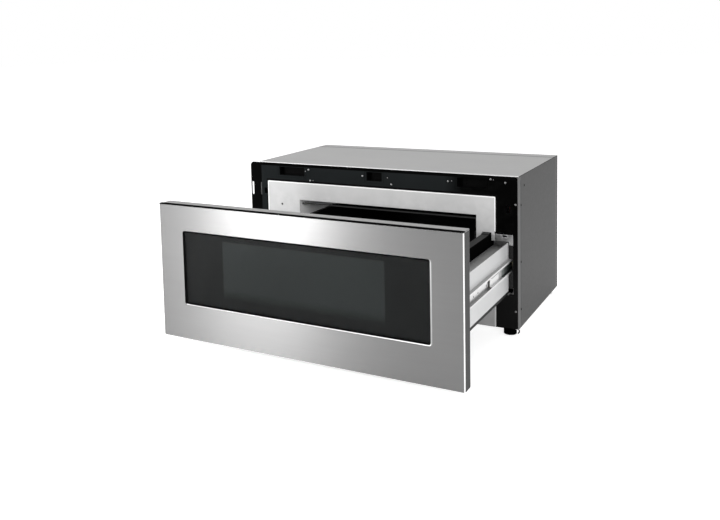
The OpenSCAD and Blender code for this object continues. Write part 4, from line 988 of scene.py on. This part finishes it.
# %% [markdown]
# The body is folded sheet. Its front is a black flange with a thicker black face on it, and
# the pale plate lies on that. The top and the sides are cut across where a lip and a fold are
# painted lighter as light, where the sides' rear end is painted darker as shade, and where a band
# near the back of the top is darker.

# %% Body
TOP_GAP = 3.5 * MM
TOP_LIP = 8 * MM
REAR_SEAM = (54 * MM, 38 * MM)
SIDE_FOLD = 21 * MM
REAR_LINE = (21 * MM, 15 * MM)
face_low, face_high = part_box("front_face")
plate_low, plate_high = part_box("face_plate")
top_low, top_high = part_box("top_panel")
side_low, side_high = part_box("right_side_panel")


def cut_face(shape):
    cut(shape, (0, 0, face_high.z - TOP_GAP), (0, 0, 1))


def cut_top(shape):
    cut(shape, (0, top_low.y + TOP_LIP, 0), (0, 1, 0))
    for back in REAR_SEAM:
        cut(shape, (0, top_high.y - back, 0), (0, 1, 0))


def cut_side(shape):
    cut(shape, (0, side_low.y + SIDE_FOLD, 0), (0, 1, 0))
    for back in REAR_LINE:
        cut(shape, (0, side_high.y - back, 0), (0, 1, 0))


dress("front_flange", flange_black, 0.4 * MM)
# Painted shade: the top band of the black face is made blacker, as the shade under the top's lip;
# the top's right edge and the corner lug take the same black.
retone(dress("front_face", frame_black, 0.6 * MM, reshape=cut_face), black_and_painted_shade,
       lambda face: face.center.z > face_high.z - TOP_GAP)
dress("face_plate", plate_paint, 0.7 * MM, steps=3)
top = dress("top_panel", top_zinc, 0.5 * MM, reshape=cut_top)
# Painted highlight: the top's front lip is the same zinc sheet in a brighter tone.
retone(top, top_lip_painted_highlight, lambda face: face.center.y < top_low.y + TOP_LIP)
retone(top, seam_zinc, lambda face:
       top_high.y - REAR_SEAM[0] < face.center.y < top_high.y - REAR_SEAM[1])
retone(top, black_and_painted_shade, lambda face: face.normal.x > 0.9)
for node in ("right_side_panel", "left_side_panel"):
    side = dress(node, body_side_painted_shade, 0.4 * MM, reshape=cut_side)
    # The sides are painted dark as shade; the front fold and a line near the back are painted
    # lighter as light, and the rear end darker as shade.
    retone(side, side_fold, lambda face: face.center.y < side_low.y + SIDE_FOLD)
    retone(side, side_rear_painted_shade, lambda face: face.center.y > side_high.y - REAR_LINE[1])
    retone(side, side_fold, lambda face:
           side_high.y - REAR_LINE[0] < face.center.y < side_high.y - REAR_LINE[1])
dress("back_panel", back_zinc, 0.35 * MM)
dress("base_pan", back_zinc, 0.35 * MM)
dress("cavity_side_guides", black_plastic, 2.0 * MM, steps=3)
dress("recess_sockets", socket_black, 0.3 * MM)
dress("power_inlet", black_plastic, 0.6 * MM)
dress("feet", foot_rubber, 4.5 * MM, steps=4)
retone(dress("cavity_liner", liner_paint, 0.4 * MM), black_enamel,
       lambda face: abs(face.normal.x) < 0.5)

# %% [markdown]
# The parts inside the body hardly show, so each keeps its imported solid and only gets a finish.

# %% Inner parts
for node, finish in (
        ("waveguide", back_zinc), ("magnetron", motor_alloy), ("transformer_core", core_iron),
        ("transformer_coils", coil_copper), ("capacitor", motor_alloy),
        ("fan_housing", black_plastic), ("fan_motor", motor_alloy),
        ("fan_blades", black_plastic), ("stirrer_motor", white_plastic),
        ("stirrer_cover", white_plastic), ("field_stirrer", back_zinc),
        ("control_board", board_green), ("noise_filter_board", board_green),
        ("drive_motor", motor_alloy), ("drive_pinion", white_plastic),
        ("rack_guide", white_plastic), ("cavity_lamp", white_plastic),
        ("interlock_switches", switch_red), ("plunger_left", white_plastic),
        ("plunger_right", white_plastic)):
    finish_node(node, finish)
print("inner parts finished")

# %% [markdown]
# A real screw has a domed head with a cross recess. One head is a grid whose middle cross is
# pushed in, joined to a round rim that steps down to the sheet. It is made facing +Z, then
# turned and moved to each screw of a CAD node, which is found as an island of its mesh. The
# dome's rings are pairs of shares, of the head's radius and of its height.

# %% Screws
HEAD_STEPS = 24
GRID_STEPS = 6
GRID_SHARE = 0.45
CROSS_SINK = 0.7
RIM_START = (0.8, 0.92)
DOME = ((0.93, 0.72), (1.0, 0.4), (1.0, 0.0))


def screw_head(radius, height):
    """A mesh of a domed head with a cross recess, on the origin, facing +Z."""
    shape = bmesh.new()
    grid = bmesh.ops.create_grid(
        shape, x_segments=GRID_STEPS, y_segments=GRID_STEPS, size=radius * GRID_SHARE)["verts"]
    bmesh.ops.translate(shape, verts=grid, vec=(0, 0, height))
    rim = [edge for edge in shape.edges if edge.is_boundary]
    arm = radius * GRID_SHARE / 3
    cross = [face for face in shape.faces
             if min(abs(face.calc_center_median().x), abs(face.calc_center_median().y)) < arm]
    sunk = bmesh.ops.extrude_face_region(shape, geom=cross)["geom"]
    low = [item for item in sunk if isinstance(item, bmesh.types.BMVert)]
    bmesh.ops.translate(shape, verts=low, vec=(0, 0, -height * CROSS_SINK))
    ring = bmesh.ops.create_circle(
        shape, cap_ends=False, segments=HEAD_STEPS, radius=radius * RIM_START[0])["verts"]
    bmesh.ops.translate(shape, verts=ring, vec=(0, 0, height * RIM_START[1]))
    edges = list({edge for vert in ring for edge in vert.link_edges})
    bmesh.ops.bridge_loops(shape, edges=rim + edges)
    for reach, level in DOME:
        out = bmesh.ops.extrude_edge_only(shape, edges=edges)["geom"]
        edges = [item for item in out if isinstance(item, bmesh.types.BMEdge)]
        for vert in (item for item in out if isinstance(item, bmesh.types.BMVert)):
            vert.co = Vector((vert.co.x, vert.co.y, 0)).normalized() * radius * reach
            vert.co.z = height * level
    bmesh.ops.contextual_create(shape, geom=edges)
    bmesh.ops.recalc_face_normals(shape, faces=shape.faces)
    mesh = bpy.data.meshes.new("screw_head")
    shape.to_mesh(mesh)
    shape.free()
    return mesh


def stamp(shape, pattern, to_place):
    """Adds a copy of a mesh to a bmesh, turned and moved."""
    moved = pattern.copy()
    moved.transform(to_place)
    shape.from_mesh(moved)
    bpy.data.meshes.remove(moved)


def islands(node):
    """Lowest and highest corner of each loose solid of a CAD node."""
    shape = merged_copy(node)
    left = set(shape.verts)
    found = []
    while left:
        stack = [left.pop()]
        low, high = stack[0].co.copy(), stack[0].co.copy()
        while stack:
            vert = stack.pop()
            low = Vector(map(min, low, vert.co))
            high = Vector(map(max, high, vert.co))
            for edge in vert.link_edges:
                other = edge.other_vert(vert)
                if other in left:
                    left.remove(other)
                    stack.append(other)
        found.append((low, high))
    shape.free()
    return sorted(found, key=lambda pair: tuple(round(c, 5) for c in pair[0]))


def facing(direction, at):
    turn = Vector(direction).to_track_quat("Z", "Y").to_matrix().to_4x4()
    return Matrix.Translation(at) @ turn


def add_shank(shape, at, direction, radius, length):
    made = bmesh.ops.create_cone(
        shape, cap_ends=True, segments=12, radius1=radius, radius2=radius, depth=length)["verts"]
    middle = Vector(at) - Vector(direction) * (length / 2)
    bmesh.ops.transform(shape, matrix=facing(direction, middle), verts=made)


print("screw helper ready")

# %% [markdown]
# The face's and the sides' screws get such a head and a plain shank that ends where the CAD
# screw does. The drawer's screws keep their packed form, with rounded edges.

# %% Screws of the face, the sides and the drawer
HEAD_RADIUS = 2.6 * MM
HEAD_HEIGHT = 1.2 * MM
SHANK_RADIUS = 1.5 * MM


def face_and_side_screws():
    head = screw_head(HEAD_RADIUS, HEAD_HEIGHT)
    face = bmesh.new()
    for low, high in islands("face_screws"):
        top = Vector(((low.x + high.x) / 2, low.y + HEAD_HEIGHT, (low.z + high.z) / 2))
        stamp(face, head, facing((0, -1, 0), top))
        add_shank(face, top, (0, -1, 0), SHANK_RADIUS, high.y - top.y)
    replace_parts(add_piece("face_screws_formed", face, "chassis", "screw_steel", screw_painted_dim),
                "face_screws")
    side = bmesh.new()
    for low, high in islands("side_screws"):
        way = 1 if low.x > 0 else -1
        outer = high.x if way > 0 else low.x
        inner = low.x if way > 0 else high.x
        top = Vector((outer - way * HEAD_HEIGHT, (low.y + high.y) / 2, (low.z + high.z) / 2))
        stamp(side, head, facing((way, 0, 0), top))
        add_shank(side, top, (way, 0, 0), SHANK_RADIUS, abs(top.x - inner))
    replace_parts(add_piece("side_screws_formed", side, "chassis", "screw_steel", screw_painted_shade),
                "side_screws")
    print(len(islands("face_screws")), "face screws,", len(islands("side_screws")), "side screws")


face_and_side_screws()
dress("drawer_screws", screw_steel, 0.2 * MM)

# %% [markdown]
# The black strip carries small rivets beside its recesses, and each recess has a raised rim, of
# which this scene has only the thin outer wall, for the reason given in rim_ring. The recesses
# are known from the record's list of openings.

# %% Rivets and rims of the black strip
RIVET_RADIUS = 1.3 * MM
RIVET_HEIGHT = 0.7 * MM
RIM_WIDTH = 4.2 * MM
RIM_HEIGHT = 0.7 * MM
RIM_GAP = 0.4 * MM
RIM_TOP_GAP = 0.1 * MM
SOCKET_WALL = 2 * MM
RIVETS = ((0.1968, 0.961), (0.2295, 0.895), (0.5343, 0.953), (0.7744, 0.961), (0.92, 0.985))


def on_face(share):
    """A point of the front face, from shares of its width and height."""
    return Vector((
        face_low.x + share[0] * (face_high.x - face_low.x), face_low.y,
        face_low.z + share[1] * (face_high.z - face_low.z)))


def strip_details():
    rivets = bmesh.new()
    pattern = screw_head(RIVET_RADIUS, RIVET_HEIGHT)
    for share in RIVETS:
        stamp(rivets, pattern, facing((0, -1, 0), on_face(share)))
    add_piece("strip_rivets", rivets, "chassis", "screw_steel", screw_painted_dim)
    socket_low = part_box("recess_sockets")[0]
    rims = bmesh.new()
    for row in record["physics"]["openings"]:
        if not row["name"].startswith("recess"):
            continue
        low, high = Vector(row["box_m"][0]), Vector(row["box_m"][1])
        out_x = RIM_WIDTH + RIM_GAP
        absorb(rims, rim_ring(
            Vector((low.x - out_x, face_low.y, socket_low.z + SOCKET_WALL - RIM_WIDTH)),
            Vector((high.x + out_x, face_low.y, face_high.z - TOP_GAP - RIM_TOP_GAP)),
            RIM_WIDTH, RIM_HEIGHT, 0.25 * MM))
    add_piece("recess_rims", rims, "chassis", "black_plastic", rim_black)
    print(len(RIVETS), "rivets and three rims")


strip_details()

# %% [markdown]
# A black strip round the pale plate is painted shadow, and thin pale strips on its edges, outside
# and round the cavity, are a painted highlight. The outer frames are thin arches, cut where the
# slide carriers' tabs begin. The ring round the cavity has only its thin outer wall, as the rims
# of the recesses have.

# %% Painted shadow and painted highlights round the pale plate
SHADOW_STRIP_WIDTH = 4.5 * MM
SHADOW_STRIP_HEIGHT = 0.6 * MM
EDGE_IN = 0.5 * MM
EDGE_WIDTH = 2.0 * MM
EDGE_HEIGHT = 0.25 * MM
TAB_GAP = 1 * MM
LEG_END = tab_high.z + TAB_GAP
LINER_INSET = 1 * MM


def arch(low_x, high_x, top_z, width, leg_z, front):
    """Corners of an arch: a bar along the top and two legs down to leg_z."""
    outline = (
        (low_x, leg_z), (low_x, top_z), (high_x, top_z), (high_x, leg_z),
        (high_x - width, leg_z), (high_x - width, top_z - width),
        (low_x + width, top_z - width), (low_x + width, leg_z))
    return [(x, front, z) for x, z in outline]


def plate_shadow_strip():
    # Painted shadow: a black strip round the plate stands for the shade of its raised edge.
    around = SHADOW_STRIP_WIDTH + FIT
    gasket = sheet(
        arch(plate_low.x - around, plate_high.x + around, plate_high.z + around,
             SHADOW_STRIP_WIDTH, LEG_END, face_low.y),
        (0, -SHADOW_STRIP_HEIGHT, 0), 0.2 * MM)
    add_piece("plate_shadow_strip", gasket, "chassis", "black_plastic", seal_rubber)


def plate_highlight_strips():
    # Painted highlight: thin strips of brighter paint lie on the plate's edges and round the
    # cavity.
    edges = sheet(
        arch(plate_low.x + EDGE_IN, plate_high.x - EDGE_IN, plate_high.z - EDGE_IN,
             EDGE_WIDTH, LEG_END, plate_low.y),
        (0, -EDGE_HEIGHT, 0), 0.1 * MM)
    leg = plate_high.x - EDGE_IN
    absorb(edges, front_plate(
        (leg - EDGE_WIDTH, leg), (plate_low.z + EDGE_IN, tab_low.z - TAB_GAP),
        plate_low.y, -EDGE_HEIGHT, 0.1 * MM))
    absorb(edges, rim_ring(
        Vector((liner_low.x + LINER_INSET - EDGE_WIDTH, plate_low.y,
                liner_low.z + LINER_INSET - EDGE_WIDTH)),
        Vector((liner_high.x - LINER_INSET + EDGE_WIDTH, plate_low.y,
                liner_high.z - LINER_INSET + EDGE_WIDTH)),
        EDGE_WIDTH, EDGE_HEIGHT, 0.1 * MM))
    add_piece("plate_highlight_strips", edges, "chassis", "pale_paint", plate_painted_highlight)


liner_low, liner_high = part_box("cavity_liner")
plate_shadow_strip()
plate_highlight_strips()
print("plate gasket and edges")

# %% [markdown]
# A bolt sits near the plate's left end, and a thin bar crosses the cavity behind the plate.

# %% Bolt of the plate and bar of the cavity
BOLT_RADIUS = 2.6 * MM
BOLT_HEIGHT = 1 * MM
BOLT_IN = 45 * MM
BOLT_DOWN = 62 * MM
BAR_SIDE_GAP = 3 * MM
BAR_DOWN = (13 * MM, 9.5 * MM)
BAR_BEHIND = 9 * MM
BAR_SHEET = 1 * MM


def plate_bolt():
    bolt = bmesh.new()
    at = Vector((plate_low.x + BOLT_IN, plate_low.y, plate_high.z - BOLT_DOWN))
    stamp(bolt, screw_head(BOLT_RADIUS, BOLT_HEIGHT), facing((0, -1, 0), at))
    add_piece("plate_bolt", bolt, "chassis", "screw_steel", screw_painted_shade)


def cavity_trim():
    trim = front_plate(
        (liner_low.x + BAR_SIDE_GAP, liner_high.x - BAR_SIDE_GAP),
        (liner_high.z - BAR_DOWN[0], liner_high.z - BAR_DOWN[1]),
        plate_low.y + BAR_BEHIND, BAR_SHEET, 0.3 * MM)
    add_piece("cavity_trim", trim, "chassis", "black_enamel", rail_top_painted_light)


plate_bolt()
cavity_trim()
print("bolt and bar")

# %% [markdown]
# Small sheets close the gaps that the eye meets from the front: a plate across the rear end of
# each bracket's shelf, and a flap at each carrier's tab, just above the bracket.

# %% End plates of the brackets and flaps at the tabs
SHEET = 1 * MM
END_RAIL_GAP = 1.5 * MM
END_WALL = 1.6 * MM
END_BACK = 2 * MM
END_LIFT = 0.1 * MM
END_TOP_GAP = 1 * MM
FLAP_HEIGHT = 5.5 * MM
FLAP_LIFT = 1.5 * MM
FLAP_SIDE = 0.5 * MM
FLAP_SHORT = 14 * MM
FLAP_FORWARD = 0.2 * MM
bracket_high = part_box("bracket_right")[1]
left_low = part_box("bracket_left")[0]
rails_low, rails_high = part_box("side_rails")


def bracket_ends():
    ends = bmesh.new()
    up = (rails_low.z + END_LIFT, bracket_high.z - END_TOP_GAP)
    for across in (
            (rails_high.x + END_RAIL_GAP, bracket_high.x - END_WALL),
            (left_low.x + END_WALL, rails_low.x - END_RAIL_GAP)):
        absorb(ends, front_plate(across, up, bracket_high.y - END_BACK, SHEET, 0.3 * MM))
    add_piece("bracket_ends", ends, "drawer", "zinc", shelf_zinc)


def tab_flaps():
    left_tab_low, left_tab_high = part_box("slide_carrier_left")
    flaps = bmesh.new()
    up = (bracket_high.z + FLAP_LIFT, bracket_high.z + FLAP_LIFT + FLAP_HEIGHT)
    for across in (
            (tab_low.x + FLAP_SIDE, tab_high.x - FLAP_SHORT),
            (left_tab_low.x + FLAP_SHORT, left_tab_high.x - FLAP_SIDE)):
        absorb(flaps, front_plate(across, up, face_low.y - FLAP_FORWARD, SHEET, 0.3 * MM))
    add_piece("tab_flaps", flaps, "chassis", "zinc", carrier_zinc)


bracket_ends()
tab_flaps()
print("end plates and flaps")

# %% [markdown]
# Behind the narrow slots at the left lies a fold of the body. Under the right front corner a bent
# lug sticks out; its outline is given in mm, to the right and up from the flange's lower corner.

# %% Fold behind the left flange and lug of the right corner
FOLD_BEHIND = 0.3 * MM
FOLD_X = (1.4 * MM, 10 * MM)
FOLD_Z = (20 * MM, 28 * MM)
FOLD_SLANT = 2 * MM
LUG_OUTLINE = ((-1, 0), (2.3, 0), (2, -6), (-2, -10), (-4, -9), (-1, -4))
flange_low, flange_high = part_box("front_flange")
left_wall_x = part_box("left_side_panel")[0].x


def inner_fold():
    near_x = left_wall_x + FOLD_X[0]
    far_x = left_wall_x + FOLD_X[1]
    low_z = tab_high.z + FOLD_Z[0]
    high_z = face_high.z - FOLD_Z[1]
    fold = sheet(
        [(x, flange_high.y + FOLD_BEHIND, z) for x, z in (
            (near_x, low_z), (far_x, low_z + FOLD_SLANT),
            (far_x, high_z - FOLD_SLANT), (near_x, high_z))],
        (0, SHEET, 0), 0.3 * MM)
    add_piece("inner_fold", fold, "chassis", "zinc", body_side_painted_shade)


def corner_lug():
    lug = sheet(
        [(side_high.x + right * MM, flange_high.y, flange_low.z + up * MM)
         for right, up in LUG_OUTLINE],
        (0, SHEET, 0), 0.25 * MM)
    add_piece("corner_lug", lug, "chassis", "black_paint", black_and_painted_shade)


inner_fold()
corner_lug()
print("fold and lug")

# %% [markdown]
# The slide's drawer member is riveted to the bracket; its rivets sit along its web.

# %% Rivets of the slide
SLIDE_SHEET = 1.2 * MM
SLIDE_RIVET = (2.1 * MM, 0.25 * MM)
RIVET_DROP = 2 * MM
SLIDE_RIVETS = (84.5 * MM, 113.5 * MM, 170.5 * MM)


def slide_details():
    pattern = screw_head(*SLIDE_RIVET)
    level = BRACKET_MIDDLE - RIVET_DROP
    dots = bmesh.new()
    for way, web in ((1, bracket_high.x + SLIDE_SHEET), (-1, left_low.x - SLIDE_SHEET)):
        for back in SLIDE_RIVETS:
            at = Vector((web, slide_low.y + back, level))
            stamp(dots, pattern, facing((way, 0, 0), at))
    add_piece("slide_rivets", dots, "drawer", "screw_steel", screw_painted_shade)
    bpy.data.meshes.remove(pattern)
    print(len(SLIDE_RIVETS) * 2, "slide rivets")


slide_details()

# %% [markdown]
# The back is a plain sheet, so it is stiffened by long pressed beads and held by two rows of
# screws. The base below has beads too, and four screws. Their places are shares of each sheet.

# %% Beads and screws of the back and the base
BEAD_WIDTH = 9 * MM
BEAD_RISE = 1.1 * MM
BORDER = 9 * MM
BACK_MARGIN = 150 * MM
BASE_MARGIN = 90 * MM
BACK_SCREW = (3 * MM, 1.4 * MM)
BACK_LEVELS = (0.4, 0.52, 0.64)
BASE_ROWS = (0.3, 0.5, 0.7)
BACK_SCREWS = (0.02, 0.25, 0.5, 0.75, 0.98)
BASE_SCREWS = ((0.1, 0.2), (0.1, 0.8), (0.9, 0.2), (0.9, 0.8))


def bead(low, high, out):
    """A long bead on a wall: its low and high corner lie in the wall, out is its rise."""
    near = (high.x, low.y, low.z)
    far = (low.x, high.y, high.z)
    return sheet([tuple(low), near, tuple(high), far], out, BEAD_RISE * 0.8, 3)


def back_details():
    low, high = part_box("back_panel")
    base_low, base_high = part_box("base_pan")
    beads = bmesh.new()
    for share in BACK_LEVELS:
        level = low.z + share * (high.z - low.z)
        absorb(beads, bead(
            Vector((low.x + BACK_MARGIN, high.y, level)),
            Vector((high.x - BACK_MARGIN, high.y, level + BEAD_WIDTH)), (0, BEAD_RISE, 0)))
    for share in BASE_ROWS:
        back = base_low.y + share * (base_high.y - base_low.y)
        absorb(beads, bead(
            Vector((base_low.x + BASE_MARGIN, back, base_low.z)),
            Vector((base_high.x - BASE_MARGIN, back + BEAD_WIDTH, base_low.z)),
            (0, 0, -BEAD_RISE)))
    add_piece("back_beads", beads, "chassis", "zinc", back_zinc)
    heads = bmesh.new()
    pattern = screw_head(*BACK_SCREW)
    for share in BACK_SCREWS:
        x = low.x + BORDER + share * (high.x - low.x - 2 * BORDER)
        for z in (low.z + BORDER, high.z - BORDER):
            stamp(heads, pattern, facing((0, 1, 0), Vector((x, high.y, z))))
    for right, back in BASE_SCREWS:
        x = base_low.x + right * (base_high.x - base_low.x)
        y = base_low.y + back * (base_high.y - base_low.y)
        stamp(heads, pattern, facing((0, 0, -1), Vector((x, y, base_low.z))))
    add_piece("back_screws", heads, "chassis", "screw_steel", screw_painted_dim)
    print(len(BACK_LEVELS) + len(BASE_ROWS), "beads,",
          len(BACK_SCREWS) * 2 + len(BASE_SCREWS), "screws")


back_details()

# %% [markdown]
# The scene is a plain pale studio: a white floor, a white surround and soft lamps. The white
# comes from the surround's own strength for what the camera, gloss and glass see, while the
# light that falls on the drawer is set apart from it.

# %% Surround and floor
SURROUND_LIGHT = 0.5
FLOOR_GLOW = 0.68


def seen_directly(tree):
    path = place(tree, "ShaderNodeLightPath")
    both = math_node(tree, "MAXIMUM", path.outputs["Is Camera Ray"], path.outputs["Is Glossy Ray"])
    return math_node(tree, "MAXIMUM", both, path.outputs["Is Transmission Ray"])


def make_surround():
    world = bpy.data.worlds.new("studio")
    bpy.context.scene.world = world
    world.use_nodes = True
    tree = world.node_tree
    strength = remap(tree, seen_directly(tree), 0.0, 1.0, SURROUND_LIGHT, 1.0)
    connect(tree, tree.nodes["Background"], {"Color": grey(1.0), "Strength": strength})


def make_floor():
    material, tree, shader = start_finish("studio_floor")[:3]
    glow = remap(tree, seen_directly(tree), 0.0, 1.0, 0.0, FLOOR_GLOW)
    connect(tree, shader, {
        "Base Color": grey(0.82), "Roughness": 0.9, "Specular IOR Level": 0.0,
        "Emission Color": grey(1.0), "Emission Strength": glow})
    shape = bmesh.new()
    bmesh.ops.create_grid(shape, x_segments=1, y_segments=1, size=30)
    mesh = bpy.data.meshes.new("studio_floor")
    shape.to_mesh(mesh)
    shape.free()
    mesh.materials.append(material)
    floor = bpy.data.objects.new("studio_floor", mesh)
    bpy.context.scene.collection.objects.link(floor)


make_surround()
make_floor()
print("surround and floor ready")

# %% [markdown]
# A large soft lamp hangs overhead. A tall narrow one at the front left is what the brushed
# front mirrors as a pale upright band, and a weaker one further left lifts the front's left
# end. A wide one at the front right lights the brackets and the body's side. Each has a place,
# a point it faces, a width and a height in metres, and a power in watts.

# %% Lamps


def soft_lamp(name, at, target, width, height, watts):
    data = bpy.data.lights.new(name, "AREA")
    data.shape = "RECTANGLE"
    data.size = width
    data.size_y = height
    data.energy = watts
    lamp = bpy.data.objects.new(name, data)
    lamp.location = at
    way = Vector(target) - Vector(at)
    lamp.rotation_euler = way.to_track_quat("-Z", "Y").to_euler()
    bpy.context.scene.collection.objects.link(lamp)


soft_lamp("overhead", (-0.2, -0.1, 2.6), (0, 0.0, 0.2), 2.4, 2.4, 35)
soft_lamp("tall_left", (-1.67, -2.88, 0.86), (-0.05, -0.38, 0.25), 0.58, 1.8, 92)
soft_lamp("far_left", (-2.6, -2.6, 1.65), (-0.3, -0.38, 0.25), 0.8, 1.6, 27)
soft_lamp("wide_right", (2.5, -1.6, 1.0), (0.3, -0.1, 0.2), 1.2, 1.6, 29)
print("four lamps")

# %% [markdown]
# The view settings stay plain, so that a colour renders as it is written.

# %% Close
bpy.context.scene.view_settings.view_transform = "Standard"
